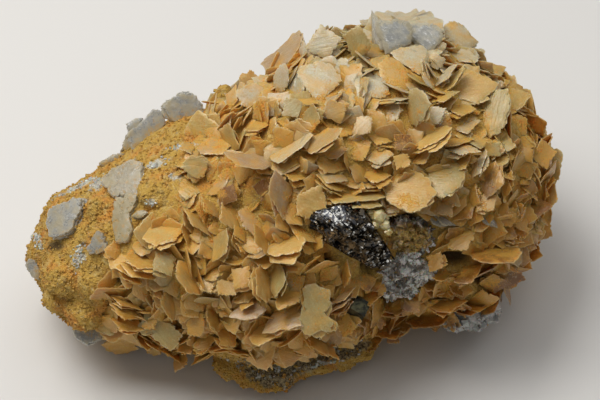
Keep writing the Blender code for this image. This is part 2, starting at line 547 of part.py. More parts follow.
def plate_corners(blade, normal, depth, offsets):
    """The corners of a listed blade: each sight line of its outline, met with its plane at a depth."""
    middle = in_view(blade.px, blade.py, depth)
    eye = VIEW_TARGET + VIEW_DISTANCE * TOWARD
    for across, above in offsets:
        sight = (in_view(blade.px + across, blade.py - above) - eye).normalized()
        yield eye + sight * (middle - eye).dot(normal) / sight.dot(normal)


def surface_depth(rock, point):
    """How far towards the viewer the rock lies on the sight line through a point, or None beside it."""
    eye = VIEW_TARGET + VIEW_DISTANCE * TOWARD
    hit = rock.ray_cast(eye, (point - eye).normalized())[0]
    return (hit - VIEW_TARGET).dot(TOWARD) if hit else None


def rock_depth(seen, rock):
    """How far towards the viewer the rock lies at a listed thing's pixel, or the nearest rock beside it."""
    point = in_view(seen.px, seen.py)
    depth = surface_depth(rock, point)
    if depth is None:
        depth = (rock.find_nearest(point)[0] - VIEW_TARGET).dot(TOWARD)
    return depth


def placed_blade(blade, rock, draw, angles, lying=False):
    """A listed blade's corners and normal, slid along its sight line until its deepest side is rooted."""
    tilt, normal = seen_normal(blade, draw)
    if lying:
        tilt = math.pi / 2
        below = in_view(blade.px, blade.py, rock_depth(blade, rock))
        normal = (rock.find_nearest(below)[1] + LYING_LIFT * TOWARD).normalized()
    turn = math.radians(blade.turn)
    cosine, sine = math.cos(turn), math.sin(turn)
    offsets = [((along * cosine - across * sine) * MM / PIXEL, (along * sine + across * cosine) * MM / PIXEL)
               for along, across in outline(blade.long, blade.wide, angles, draw)]
    flat = list(plate_corners(blade, normal, 0, offsets))
    wanted = []
    for corner in flat + [in_view(blade.px, blade.py)]:
        depth = surface_depth(rock, corner)
        if depth is not None:
            wanted.append(depth - (corner - VIEW_TARGET).dot(TOWARD))
    if not wanted:
        wanted.append(rock_depth(blade, rock))
    root = FLAT_ROOT_DEPTH if tilt < FLAT_TILT else ROOT_DEPTH
    at_rim = len(wanted) <= len(flat)
    depth = max(wanted) - root - (RIM_SINK if at_rim else 0) + blade.lift * MM
    corners = list(plate_corners(blade, normal, depth, offsets))
    raised = FLOOR_CLEARANCE + BLADE_THICK / 2 - min(corner.z for corner in corners)
    if raised > 0:
        corners = [corner + Vector((0, 0, raised)) for corner in corners]
    return corners, normal


def add_prop(mesh_data, corners, rock, thick):
    """Adds the crystal behind a raised blade: a plate straight behind it, down into the crust."""
    middle = sum(corners, Vector()) / len(corners)
    along = (corners[0] - middle) * PROP_LENGTH
    depth = surface_depth(rock, middle)
    nearest = rock.find_nearest(middle)[0]
    if depth is None:
        down = (nearest - middle) * PROP_REACH
    else:
        behind = (middle - VIEW_TARGET).dot(TOWARD) - depth
        down = -TOWARD * (max(behind, 0) + PROP_ROOT)
    foot = along * PROP_FOOT
    quad = [middle + along, middle - along, middle - foot + down, middle + foot + down]
    add_blade(mesh_data, quad, along.cross(down), thick)


def fill_normal(point, out, draw):
    """A fill blade's face's normal and its up direction, which turn slowly with its place on the crust."""
    side = out.cross(Vector((0.3, 0.2, 1))).normalized()
    heading = SHEAF_TURN * noise.noise(point / SHEAF_SCALE + Vector((7, 3, 5))) + draw.uniform(-0.5, 0.5)
    tangent = math.cos(heading) * side + math.sin(heading) * out.cross(side)
    stand = math.radians(draw.uniform(*(FRONT_STAND if out.dot(TOWARD) > FRONT_FACING else BACK_STAND)))
    normal = math.cos(stand) * out + math.sin(stand) * tangent
    return normal, math.sin(stand) * out - math.cos(stand) * tangent


def hides_listed(corners, listed):
    """Whether a fill blade would stand in front of a listed one."""
    for corner in corners:
        px, py, depth = pixel_of(corner)
        for blade, _, level in listed:
            reach = HIDING_REACH * blade.long * MM / PIXEL
            if abs(px - blade.px) < reach and abs(py - blade.py) < reach and depth > level:
                return True
    return False


def add_fill_blades(mesh_data, rock, listed, draw):
    """Adds the blades between and behind the listed ones, spread evenly over the crust."""
    kept = []
    taken = [middle for _, middle, _ in listed]
    for _ in range(FILL_TRIES):
        place = draw.uniform(*FILL_PLACES)
        angle = draw.uniform(*FILL_ANGLES)
        point = rock_point(place, angle, bare_form)
        px = section(place)[0]
        if crust_reach(px, angle, point.z) < BORDER_MARGIN:
            continue
        out = rock.find_nearest(point)[1]
        front = out.dot(TOWARD) > FRONT_FACING
        spacing = FRONT_SPACING if front else BACK_SPACING
        if any((point - other).length < spacing for other in kept):
            continue
        if any((point - other).length < LISTED_SPACING for other in taken):
            continue
        normal, upward = fill_normal(point, out, draw)
        grown = 1 if front else BACK_GROWN
        long, wide = draw.uniform(*FILL_LONG) * MM * grown, draw.uniform(*FILL_WIDE) * MM * grown
        along = normal.cross(upward)
        shape = list(outline(long, wide, FEW_CORNERS, draw))
        for raised in FILL_RAISED:
            middle = point + upward * raised * wide
            corners = [middle + along * across + upward * above for across, above in shape]
            if min(corner.z for corner in corners) < FLOOR_CLEARANCE + BLADE_THICK / 2:
                continue
            if out.dot(TOWARD) < 0 or not hides_listed(corners, listed):
                kept.append(point)
                add_blade(mesh_data, corners, normal, BLADE_THICK)
                break


def rough_ball(mesh_data, middle, sizes, draw, subdivisions=1):
    """Adds a small closed lump with flat sides, turned at random."""
    made = bmesh.ops.create_icosphere(mesh_data, subdivisions=subdivisions, radius=1)["verts"]
    angle = draw.uniform(0, math.pi)
    turn = Matrix.Rotation(angle, 3, Vector((draw.random(), draw.random(), 0.3)).normalized())
    for vertex in made:
        shaped = turn @ vertex.co * draw.uniform(0.9, 1.08)
        vertex.co = middle + Vector((shaped.x * sizes[0], shaped.y * sizes[1], shaped.z * sizes[2])) * MM


def add_lumps(mesh_data, entries, subdivisions, grown, rock, draw):
    """Adds lumps of rock, each on the sight line of its pixel, and grown all round by a gap."""
    for lump in entries:
        middle = in_view(lump.px, lump.py, rock_depth(lump, rock) - lump.sunk * MM)
        rough_ball(mesh_data, middle, [size + grown / MM for size in lump.sizes], draw, subdivisions)


def cube_group(name, entries, proud, rock, draw, round_sides=False):
    """Intergrown cubes, or blunt quartz points, fused in one solid: each on the sight line of its pixel."""
    mesh_data = bmesh.new()
    for entry in entries:
        middle = in_view(entry.px, entry.py, rock_depth(entry, rock) + proud - entry.edge * MM * 0.5)
        if round_sides:
            rough_ball(mesh_data, middle, (entry.edge * BALL_SHARE,) * 3, draw)
            continue
        angle = draw.uniform(0.2, 1.4)
        turn = Matrix.Rotation(angle, 4, Vector((draw.random(), draw.random(), 1)).normalized())
        bmesh.ops.create_cube(mesh_data, size=entry.edge * MM, matrix=Matrix.Translation(middle) @ turn)
    return new_object(name, mesh_data)


def fused(piece):
    """Joins the overlapping closed shapes of one piece into a single solid."""
    mesh_data = bmesh.new()
    bmesh.ops.create_cube(mesh_data, size=0.2 * MM)
    middle = sum((vertex.co for vertex in piece.data.vertices), Vector()) / len(piece.data.vertices)
    seed = min(piece.data.vertices, key=lambda vertex: (vertex.co - middle).length).co.copy()
    bmesh.ops.translate(mesh_data, vec=seed, verts=mesh_data.verts)
    grain = new_object("fusing_grain", mesh_data)
    combined(piece, [grain], "UNION")
    remove(grain)


def make_material(mineral):
    """A mineral's material, its colour from 0 to 1 in red, green and blue."""
    material = bpy.data.materials.new(mineral.name)
    material.use_nodes = True
    shader = material.node_tree.nodes["Principled BSDF"]
    shader.inputs["Base Color"].default_value = (*mineral.colour, 1)
    shader.inputs["Roughness"].default_value = mineral.roughness
    shader.inputs["Metallic"].default_value = mineral.metallic
    shader.inputs["Transmission Weight"].default_value = mineral.transmission
    return material


def make_matrix(name, grown, rock):
    """The limonite-coated rock's shapes: bare at the left end, sunk under the crust, with its lumps and lip.

    Grown all round by a gap, they are the clear space that the neighbours leave for it.
    """
    draw = random.Random(SEED)
    end = END_ROUNDING + 1.5 * grown
    body = lofted(name, MATRIX_RINGS, MATRIX_SIDES,
                  lambda px, angle, z: under_crust(px, angle, z) + grown, end)
    mesh_data = bmesh.new()
    mesh_data.from_mesh(body.data)
    remove(body)
    add_lumps(mesh_data, ROCK_LUMPS + LIP_LEDGES, 1, grown, rock, draw)
    return new_object(name, mesh_data)


def make_crust(rock, draw):
    """The calcite crust's shapes: a layer over the rock and every blade that grew from it."""
    layer = lofted("calcite_blades", CRUST_RINGS, CRUST_SIDES, crust_top)
    mesh_data = bmesh.new()
    mesh_data.from_mesh(layer.data)
    remove(layer)
    listed = []
    for blade in CRUST_BLADES:
        if blade.long < LEAST_LISTED:
            continue
        angles = MANY_CORNERS if blade.long > MANY_SIDED else FEW_CORNERS
        corners, normal = placed_blade(blade, rock, draw, angles)
        add_blade(mesh_data, corners, normal, BLADE_THICK)
        if blade.lift > MOST_UNPROPPED:
            add_prop(mesh_data, corners, rock, BLADE_THICK)
        middle = sum(corners, Vector()) / len(corners)
        listed.append((blade, middle, pixel_of(middle)[2]))
    add_fill_blades(mesh_data, rock, listed, draw)
    return new_object("calcite_blades", mesh_data)


def make_free_crystal(name, tablets, rock, draw):
    """A crystal that stands on the bare rock: its tablets' shapes."""
    mesh_data = bmesh.new()
    for blade, thick, lying in tablets:
        corners, normal = placed_blade(blade, rock, draw, MANY_CORNERS, lying)
        add_tablet(mesh_data, corners, normal, thick * MM)
    return new_object(name, mesh_data)


def clear_scene():
    for old in list(bpy.data.objects):
        bpy.data.objects.remove(old)


def centre_over_origin(pieces):
    """Moves the whole specimen so that the origin is under its middle."""
    points = [vertex.co for piece in pieces for vertex in piece.data.vertices]
    middle = [(min(point[k] for point in points) + max(point[k] for point in points)) / 2 for k in (0, 1)]
    for piece in pieces:
        piece.data.transform(Matrix.Translation((-middle[0], -middle[1], 0)))


def make_form():
    """The rock's bare form without its crust, to find depths and slopes on."""
    last = len(STATIONS) - 1
    form = lofted("form", [0.5 * k for k in range(2 * last + 1)], FORM_SIDES, bare_form)
    rock = BVHTree.FromPolygons([vertex.co for vertex in form.data.vertices],
                                [face.vertices for face in form.data.polygons])
    remove(form)
    return rock


def fit_together(matrix, crust, insets, crystals, rock):
    """Cuts the pieces clear of one another: each sits in a pocket of its neighbour, a gap away."""
    pyrite, _, quartz, white, _ = insets
    pockets = [hull_of(inset, "pocket", POCKET_GAP) for inset in insets]
    matrix_space = make_matrix("matrix_space", GAP, rock)
    crystal_spaces = [swollen(crystal, "crystal_space", CRYSTAL_GAP) for crystal in crystals]
    combined(matrix, pockets, "DIFFERENCE")
    cut_at_floor(matrix)
    combined(crust, [matrix_space] + pockets + crystal_spaces, "DIFFERENCE")
    combined(quartz, pockets[:1], "DIFFERENCE")
    combined(pyrite, pockets[-1:], "DIFFERENCE")
    fused(white)
    for crystal in crystals:
        combined(crystal, [matrix_space], "DIFFERENCE")
    for helper in [matrix_space] + pockets + crystal_spaces:
        remove(helper)


def finish(piece, collection, material):
    bpy.context.scene.collection.objects.unlink(piece)
    collection.objects.link(piece)
    piece.data.materials.clear()
    piece.data.materials.append(material)


def main():
    clear_scene()
    draw = random.Random(SEED)
    rock = make_form()
    matrix = make_matrix("matrix", 0, rock)
    crust = make_crust(rock, draw)
    insets = [
        cube_group("pyrite_cluster", PYRITE_CUBES, PYRITE_PROUD, rock, draw),
        cube_group("pyrite_cube", (SMALL_CUBE,), CUBE_PROUD, rock, draw),
        cube_group("quartz_druse", QUARTZ_POINTS, DRUSE_PROUD, rock, draw, round_sides=True),
        cube_group("white_druse", WHITE_POINTS, DRUSE_PROUD, rock, draw, round_sides=True),
        cube_group("pale_grain", (PALE_GRAIN,), GRAIN_PROUD, rock, draw, round_sides=True),
    ]
    crystals = [make_free_crystal(name, tablets, rock, draw) for name, tablets in FREE_CRYSTALS.items()]
    fit_together(matrix, crust, insets, crystals, rock)
    centre_over_origin([matrix, crust] + insets + crystals)

    collection = bpy.data.collections.new(COLLECTION)
    bpy.context.scene.collection.children.link(collection)
    for piece in [matrix, crust] + insets:
        finish(piece, collection, make_material(MINERALS[piece.name]))
    grey = make_material(FREE_MINERAL)
    for crystal in crystals:
        finish(crystal, collection, grey)


main()
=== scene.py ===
"""The looks of a calcite specimen with pyrite on a limonite-coated rock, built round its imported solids.

Metres, +Z up. The rock and its blades are placed by the same stations and lists as the solids, in a frame of
600 by 400 pixels seen from above the front, and everything is then moved by SHIFT into the solids' own frame.
"""

import json
import math
import random
from collections import defaultdict, namedtuple

import bmesh
import bpy
import numpy as np
from mathutils import Matrix, Vector, noise
from mathutils.bvhtree import BVHTree

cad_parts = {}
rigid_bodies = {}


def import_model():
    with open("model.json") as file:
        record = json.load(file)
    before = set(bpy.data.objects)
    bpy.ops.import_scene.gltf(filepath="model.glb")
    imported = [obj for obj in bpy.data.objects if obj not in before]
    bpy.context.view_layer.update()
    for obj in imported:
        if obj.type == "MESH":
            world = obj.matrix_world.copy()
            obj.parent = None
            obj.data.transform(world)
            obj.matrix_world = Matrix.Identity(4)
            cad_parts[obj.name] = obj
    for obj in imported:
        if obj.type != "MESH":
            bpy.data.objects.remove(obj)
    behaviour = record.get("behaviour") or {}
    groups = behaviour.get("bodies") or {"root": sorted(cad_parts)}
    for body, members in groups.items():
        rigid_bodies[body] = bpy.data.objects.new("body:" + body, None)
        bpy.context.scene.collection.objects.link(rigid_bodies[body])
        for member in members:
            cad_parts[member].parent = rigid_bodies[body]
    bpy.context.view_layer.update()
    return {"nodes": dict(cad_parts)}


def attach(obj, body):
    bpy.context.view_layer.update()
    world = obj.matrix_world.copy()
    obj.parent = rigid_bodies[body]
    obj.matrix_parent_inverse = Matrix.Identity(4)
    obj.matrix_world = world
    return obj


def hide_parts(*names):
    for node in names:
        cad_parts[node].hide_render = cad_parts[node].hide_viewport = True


SEED = 5
MM = 0.001
SHIFT = Vector((-0.6218 * MM, 0.8560 * MM, 0))

# The view in which the outline and the blades are placed.
FRAME_MIDDLE = (300, 200)
FRAME_WIDTH = 600
SEEN_WIDTH = 160 * MM
PIXEL = SEEN_WIDTH / FRAME_WIDTH
VIEW_ELEVATION = math.radians(48)
VIEW_DISTANCE = 600 * MM
VIEW_TARGET = Vector((2 * MM, -3 * MM, 36 * MM))
RIGHT = Vector((1, 0, 0))
UP = Vector((0, math.sin(VIEW_ELEVATION), math.cos(VIEW_ELEVATION)))
TOWARD = Vector((0, -math.cos(VIEW_ELEVATION), math.sin(VIEW_ELEVATION)))
EYE = VIEW_TARGET + VIEW_DISTANCE * TOWARD
SENSOR_WIDTH = 36

# The rock's outline under the blades: columns of the view, with the height of the rock's axis in millimetres.
Station = namedtuple("Station", "px top bottom axis")
STATIONS = (
    Station(31, 243, 268, 22),
    Station(40, 219, 285, 23),
    Station(54, 193, 311, 24),
    Station(72, 185, 322, 25),
    Station(90, 178, 330, 26),
    Station(110, 162, 335, 27),
    Station(140, 143, 338, 29),
    Station(170, 123, 342, 30),
    Station(200, 112, 350, 31),
    Station(230, 102, 356, 31),
    Station(260, 88, 362, 32),
    Station(290, 60, 363, 33),
    Station(320, 46, 354, 34),
    Station(350, 38, 342, 34),
    Station(380, 30, 332, 34),
    Station(410, 28, 322, 34),
    Station(440, 40, 317, 33),
    Station(470, 58, 310, 33),
    Station(498, 84, 288, 33),
    Station(520, 108, 252, 34),
    Station(534, 132, 226, 35),
    Station(544, 158, 202, 36),
)
HEIGHT_SHARE = 0.67  # how much of a section's apparent half height comes from its height, not its depth
END_ROUNDING = 1.5 * MM
BROAD_BUMP, BROAD_SCALE = 1.5 * MM, 19 * MM
SMALL_BUMP, SMALL_SCALE = 0.8 * MM, 6.5 * MM
BARE_FADE = 6 * MM  # over this reach into the crust the bare rock's small bumps fade
DEEPEST_SHARE = 0.75
FORM_SIDES = 48

# The crust covers the right three quarters. Its left border, as degrees round the section to a column.
CRUST_START = ((0, 218), (45, 216), (70, 200), (90, 182), (110, 165), (128, 128), (145, 116),
               (170, 107), (205, 102), (235, 108), (270, 130), (330, 200), (360, 218))
# The crust's lower border: columns to millimetres above the floor, at the front and at the back.
FRONT_FOOT = ((100, 6), (190, 8), (228, 16), (355, 16), (405, 8), (560, 5))
BACK_FOOT = 9
CRUST_DEPTH = 5 * MM
CRUST_SINK = 15 * MM
CRUST_FADE, CRUST_SPREAD = 5 * MM, 3 * MM
CRUST_UNDER = 1.2 * MM  # how deep the crust's own surface lies between the blades
BORDER_WANDER = 5 * MM  # how far the crust's border wanders, over these degrees and this rise
WANDER_TURN, WANDER_RISE, WANDER_PHASE = 22, 13 * MM, 4
FLOOR_CLEARANCE = 0.6 * MM

# Calcite blades as seen in the view: middle in pixels, length and width in millimetres, the long axis's
# turn in degrees from the view's right, which way the face tips (1 up, -1 down), and its lift off the rest.
Blade = namedtuple("Blade", "px py long wide turn face lift", defaults=(1, 0))
BLADE_THICK = 1.9 * MM
LEAST_LISTED, MANY_SIDED = 6.6, 11.5
ROOT_DEPTH = 2.4 * MM
RIM_SINK = 1.6 * MM
FULL_WIDTH_SHARE = 0.8
MOST_TILT = math.radians(66)
FLAT_TILT, FLAT_RAISED = math.radians(24), 0.9 * MM
FACE_TURN, LYING_LEAN = 0.22, 0.4
# A blade's outline: its corners' places round it in degrees by their number, and how far they are off.
CORNER_ANGLES = {4: (0, 84, 180, 264), 6: (0, 54, 126, 180, 234, 306)}
CORNER_TURN, CORNER_SIZE, CORNER_WIDENED = 8, (0.92, 1.06), 1.14

BLADE_GROUPS = {
    "blades_left": (
        Blade(195, 166, 8.4, 7.0, 60), Blade(192, 187, 8.6, 5.0, 0), Blade(209, 170, 4.4, 3.2, 40),
        Blade(183, 198, 5.2, 2.8, -10), Blade(217, 146, 11.0, 5.6, 10, 1, 0.8),
        Blade(249, 160, 14.2, 4.2, -14, 1, 0.6), Blade(250, 80, 6.0, 5.0, 0),
        Blade(251, 94, 6.8, 5.2, 5, 1, 0.8), Blade(233, 98, 8.0, 3.2, 72), Blade(258, 127, 8.5, 2.6, 15),
        Blade(288, 126, 7.0, 2.6, -25), Blade(292, 109, 7.4, 5.8, 30),
        Blade(298, 149, 15.4, 4.6, 27, 1, 0.8), Blade(216, 188, 9.0, 4.6, 38),
        Blade(228, 195, 6.6, 5.0, 65, 1, 1), Blade(211, 209, 8.8, 3.4, -50), Blade(236, 190, 5.6, 2.4, 85),
        Blade(250, 189, 9.4, 6.4, 80), Blade(263, 190, 6.0, 5.0, 80), Blade(279, 196, 12.8, 6.4, 104, 1, 1),
        Blade(265, 202, 3.8, 1.8, 0), Blade(249, 221, 10.2, 7.0, -30), Blade(229, 217, 9.4, 5.6, -62),
        Blade(240, 234, 5.8, 3.2, -58, 1, 1), Blade(262, 242, 10.4, 3.6, -62),
        Blade(188, 224, 9.6, 2.6, -62), Blade(198, 223, 10.8, 3.2, -48), Blade(163, 235, 12.0, 5.6, 15),
        Blade(147, 226, 5.0, 3.6, 20), Blade(164, 263, 8.8, 6.6, -55, 1, 0.6),
        Blade(188, 278, 11.8, 5.2, -58, 1, 0.6), Blade(141, 262, 11.0, 4.0, -20, 1, 1),
        Blade(138, 270, 11.0, 4.4, -24), Blade(128, 276, 9.0, 3.0, -34), Blade(209, 246, 4.8, 2.6, -35),
        Blade(221, 246, 9.8, 4.6, 66, 1, 0.6), Blade(235, 245, 6.6, 2.2, -72),
        Blade(244, 250, 5.6, 1.8, -42), Blade(235, 262, 6.6, 2.4, 8), Blade(213, 273, 7.0, 3.8, 35),
        Blade(208, 286, 5.4, 4.0, 30), Blade(241, 278, 7.8, 6.0, 60, 1, 0.6),
        Blade(226, 288, 6.4, 4.8, -40),
    ),
    "blades_lower_left": (
        Blade(213, 319, 8.2, 3.4, -75), Blade(222, 304, 5.0, 3.0, -35), Blade(232, 299, 5.0, 3.4, 60),
        Blade(197, 328, 6.6, 5.0, 75), Blade(191, 310, 5.8, 4.2, -40), Blade(170, 304, 9.8, 4.6, 97),
        Blade(151, 300, 6.6, 2.8, 102), Blade(158, 294, 3.8, 2.8, -60), Blade(127, 304, 10.0, 2.6, -26),
        Blade(127, 313, 10.4, 4.0, -26), Blade(126, 324, 9.8, 4.8, -18), Blade(151, 322, 5.6, 4.2, 40),
        Blade(170, 331, 9.0, 7.4, 55, 1, 0.6), Blade(155, 351, 3.8, 2.0, -10, -1),
        Blade(120, 349, 10.4, 3.8, -6, -1), Blade(181, 361, 7.8, 3.8, 65), Blade(206, 342, 7.0, 4.6, 20),
        Blade(226, 338, 7.6, 5.0, -40), Blade(186, 347, 6.0, 4.4, 30),
    ),
    "blades_centre": (
        Blade(293, 177, 8.0, 3.0, -12), Blade(300, 188, 6.4, 4.2, 10), Blade(330, 163, 9.8, 5.6, -15),
        Blade(332, 176, 9.4, 4.2, -20), Blade(330, 184, 9.4, 2.6, -28), Blade(322, 142, 13.0, 4.6, 28),
        Blade(336, 154, 8.6, 4.0, 15), Blade(310, 202, 8.2, 7.2, 10, 1, 0.8), Blade(288, 214, 5.6, 2.4, 32),
        Blade(291, 223, 4.0, 1.8, 30), Blade(276, 219, 6.2, 4.2, 78), Blade(262, 283, 12.0, 4.4, 97),
        Blade(278, 279, 11.0, 5.0, 85), Blade(286, 247, 11.6, 5.2, 12, 1, 0.8),
        Blade(290, 263, 6.8, 2.0, -3), Blade(317, 243, 6.2, 3.4, 70), Blade(318, 257, 5.0, 2.6, -52),
        Blade(347, 273, 8.4, 2.8, 83), Blade(343, 297, 8.8, 2.4, 32, 1, 1), Blade(342, 305, 9.0, 4.0, 38),
        Blade(316, 298, 8.8, 7.0, 75, 1, 1.5), Blade(325, 318, 7.6, 5.0, -25, 1, 1),
        Blade(309, 322, 6.8, 4.8, 30, 1, 0.5), Blade(287, 297, 9.4, 5.2, 10),
        Blade(262, 334, 11.0, 4.8, 26, 1, 1), Blade(286, 318, 11.4, 6.0, 14),
        Blade(249, 309, 9.6, 5.6, 12, 1, 0.6), Blade(247, 296, 7.6, 3.2, 26),
        Blade(316, 342, 10.6, 3.6, -50), Blade(326, 350, 9.8, 3.2, -48), Blade(346, 325, 7.6, 5.6, 80),
        Blade(357, 320, 6.6, 2.6, -45), Blade(369, 345, 7.8, 4.0, 12), Blade(393, 335, 5.6, 4.4, 50),
        Blade(371, 299, 7.4, 3.8, 20), Blade(375, 287, 4.6, 3.0, 30), Blade(396, 310, 6.6, 3.4, 10),
        Blade(347, 200, 11.8, 4.2, -3), Blade(375, 175, 9.2, 4.4, -8), Blade(372, 185, 8.0, 2.2, -2),
        Blade(410, 195, 14.4, 10.0, 8, 1, 2), Blade(389, 207, 5.4, 3.8, 28, 1, 1),
        Blade(437, 181, 14.0, 9.2, 22, 1, 0.6), Blade(445, 209, 5.8, 4.6, -48),
        Blade(443, 221, 6.8, 2.6, -28),
    ),
    "blades_upper": (
        Blade(312, 119, 8.2, 5.4, 80), Blade(335, 111, 7.6, 6.2, 25), Blade(347, 101, 5.8, 3.4, -58),
        Blade(376, 90, 7.8, 5.6, -14, 1, 0.6), Blade(393, 76, 8.8, 5.8, -32), Blade(363, 98, 6.2, 3.2, -70),
        Blade(392, 113, 6.8, 4.8, 58), Blade(414, 107, 9.8, 4.2, 82), Blade(436, 115, 6.8, 4.8, 32),
        Blade(363, 125, 7.0, 5.2, 48), Blade(380, 140, 6.6, 3.6, -14), Blade(402, 143, 6.2, 4.8, -48),
        Blade(432, 138, 12.0, 3.4, 28), Blade(453, 142, 11.4, 2.4, 8), Blade(461, 150, 10.4, 2.6, -4),
        Blade(402, 161, 6.0, 4.8, -30), Blade(380, 157, 8.2, 4.4, 10), Blade(360, 152, 6.6, 4.8, 30),
        Blade(345, 132, 7.0, 4.0, -20), Blade(422, 157, 7.4, 4.2, 40), Blade(468, 127, 8.0, 4.4, 15),
        Blade(463, 163, 8.0, 3.4, 42), Blade(477, 168, 9.0, 3.2, 52), Blade(443, 98, 9.0, 2.4, 20),
        Blade(462, 111, 8.4, 3.6, -4), Blade(446, 76, 9.4, 2.0, 45), Blade(454, 81, 9.6, 2.0, 46),
    ),
    "blades_crest": (
        Blade(283, 54, 14.0, 6.0, 44), Blade(281, 81, 9.8, 4.6, 84), Blade(297, 86, 8.2, 4.2, 80),
        Blade(326, 80, 12.6, 9.2, 22, 1, 1), Blade(324, 43, 11.4, 9.0, 12), Blade(357, 42, 9.8, 7.8, 80),
        Blade(375, 33, 11.0, 2.6, 87), Blade(393, 40, 9.0, 8.4, 30), Blade(427, 37, 9.4, 7.6, -20),
        Blade(408, 64, 10.4, 6.8, -12, 1, 1), Blade(438, 62, 5.0, 4.2, 0), Blade(460, 36, 9.6, 5.8, -38),
        Blade(463, 58, 7.8, 3.8, 3), Blade(473, 84, 13.4, 9.0, 9, 1, 1.5), Blade(491, 68, 6.4, 2.8, -8),
        Blade(494, 115, 11.4, 7.8, 72, 1, 1),
    ),
    "blades_right": (
        Blade(517, 125, 8.8, 5.8, -52), Blade(513, 93, 8.6, 5.2, -45), Blade(536, 127, 8.4, 3.6, -50),
        Blade(543, 155, 8.4, 6.2, 105), Blade(492, 149, 6.0, 4.8, -40), Blade(513, 147, 6.0, 4.2, -42),
        Blade(508, 157, 4.2, 3.6, 0), Blade(527, 155, 5.6, 4.4, -48),
        Blade(492, 180, 10.6, 6.6, 78, 1, 0.6), Blade(505, 186, 7.6, 4.4, 84),
        Blade(528, 173, 6.0, 3.8, 30), Blade(528, 192, 5.6, 4.0, 42), Blade(543, 194, 6.0, 4.0, 80),
        Blade(538, 209, 8.0, 4.4, 8, 1, 1), Blade(473, 199, 8.4, 3.8, 76), Blade(487, 203, 7.0, 5.2, 40),
        Blade(503, 211, 5.8, 4.2, 70), Blade(514, 211, 6.2, 3.4, 80), Blade(488, 221, 6.4, 2.6, -38),
        Blade(509, 218, 5.6, 4.6, 20), Blade(520, 225, 6.4, 3.8, -60), Blade(531, 231, 5.2, 3.2, 85),
    ),
    "blades_lower_right": (
        Blade(462, 240, 8.8, 5.6, 30), Blade(496, 255, 15.0, 5.8, 4), Blade(510, 242, 7.8, 2.0, 2, 1, 1),
        Blade(508, 234, 5.8, 3.6, -25), Blade(468, 275, 9.6, 4.6, 32), Blade(441, 277, 7.6, 2.8, -5),
        Blade(435, 263, 6.4, 4.8, 60), Blade(430, 288, 6.2, 2.8, -15), Blade(455, 291, 5.8, 2.2, -45),
        Blade(494, 283, 9.6, 5.0, 5, -1), Blade(449, 305, 10.4, 4.0, 12, 1, 0.6),
        Blade(426, 321, 12.0, 4.6, 5), Blade(411, 306, 6.2, 4.8, -50), Blade(481, 300, 11.0, 4.6, 5, -1),
        Blade(404, 325, 7.0, 4.2, 30),
    ),
}
# Thin ledges along the crest, each with an outline of its own, which the solids leave out.
LEDGES = (Blade(404, 20, 18, 4.0, -4), Blade(437, 48, 5.0, 4.0, 30))
# How far blades stand nearer the viewer than the solids' ones, in millimetres, by group or by middle.
RAISED_GROUPS = {"blades_upper": 0.9, "blades_crest": 0.5, "blades_left": 0.4, "blades_centre": 0.3}
RAISED = {(376, 90): 2.4, (393, 76): 1.9, (414, 107): 1.6, (436, 115): 1.6, (392, 113): 1.2, (408, 64): 1.0,
          (326, 80): 0.8, (195, 166): 0.8, (251, 94): 1.0, (217, 146): 0.8}
# The crest's water-clear blades, by their middles.
CLEAR_BLADES = ((375, 33), (393, 40), (427, 37))
CREST_TIP = (375, 33)
# Blades given the clear material, whose pale streaks paint glints on them.
GLINTS = ((443, 221), (488, 221))
CLEAR_GROWN = 1.06
CLEAR_GROUP = "clear_crystals"

# Blades between and behind the listed ones, which stand on edge in sheaves that turn slowly over the crust.
FILL_TRIES = 5200
FILL_START, FILL_REACH = 4.5, 2.5 * MM  # the first station, and how far inside the crust's borders
FILL_ANGLES = (-60, 250)  # degrees round the rock's section
FRONT_FACING = 0.1  # from this share of a slope towards the viewer it counts as the front
FRONT_SPACING, BACK_SPACING = 7.0 * MM, 8.2 * MM
LISTED_SPACING = 3.6 * MM
FILL_LONG, FILL_WIDE = (8.5, 12.0), (7.0, 9.0)
FILL_RAISED = (0.16, 0, -0.14)  # how far out a blade's middle may stand, in widths
FILL_MARGIN, FILL_BEND = 0.3 * MM, 0.5 * MM
HIDING_SHARE = 0.32
BACK_GROWN = 1.4
FRONT_STAND, BACK_STAND = (30, 62), (22, 52)  # degrees between a blade's face and the crust
SHEAF_SCALE, SHEAF_TURN = 26 * MM, 2.6 * math.pi
SHEAF_ACROSS, SHEAF_PHASE = Vector((0.3, 0.2, 1)), Vector((7, 3, 5))

# Smaller blades that fill the gaps which the solids leave.
SMALL_TRIES = 14000
SMALL_START, SMALL_REACH = 4.3, 1 * MM
SMALL_SPACING = 2.7 * MM
SMALL_LONG, SMALL_WIDE = (5.0, 10.0), (4.2, 7.4)
SMALL_RAISED = (0.26, 0.1, -0.06, -0.2)
SMALL_STAND = (16, 60)
SMALL_MARGIN, SMALL_THICK, SMALL_BEND = 1.0 * MM, 0.5 * MM, 0.4 * MM
TESTED_SHARE = 0.8  # how far out from a blade's middle it is tested, as a share of its corners
# How far the crust's own surface is raised, as degrees round the section to millimetres.
BED_RAISED = ((0, 0.2), (60, 0.9), (150, 0.9), (185, 0.2), (230, -0.4), (360, 0.2))
BED_START, BED_RINGS, BED_SIDES = 4.4, 170, 150
BED_GRAIN_SHARE = 0.8
HOLLOW_DEPTH = 3.5 * MM
COVER_SHARE, COVER_DEPTH = 0.42, 1 * MM
LISTED_LEAVES, FILL_LEAVES = (1, 1, 2), (0, 1, 1)  # how many leaves lie behind a blade's front one
LEAF_FORWARD, LEAF_BACK = 0.3 * MM, 0.35 * MM
FRONT_LEAF, BACK_LEAF = 0.46 * MM, 0.42 * MM
LISTED_BEND = (0.2, 0.8)
POCKETED = ("pyrite_cluster", "pyrite_cube", "quartz_druse", "white_druse", "pale_grain")

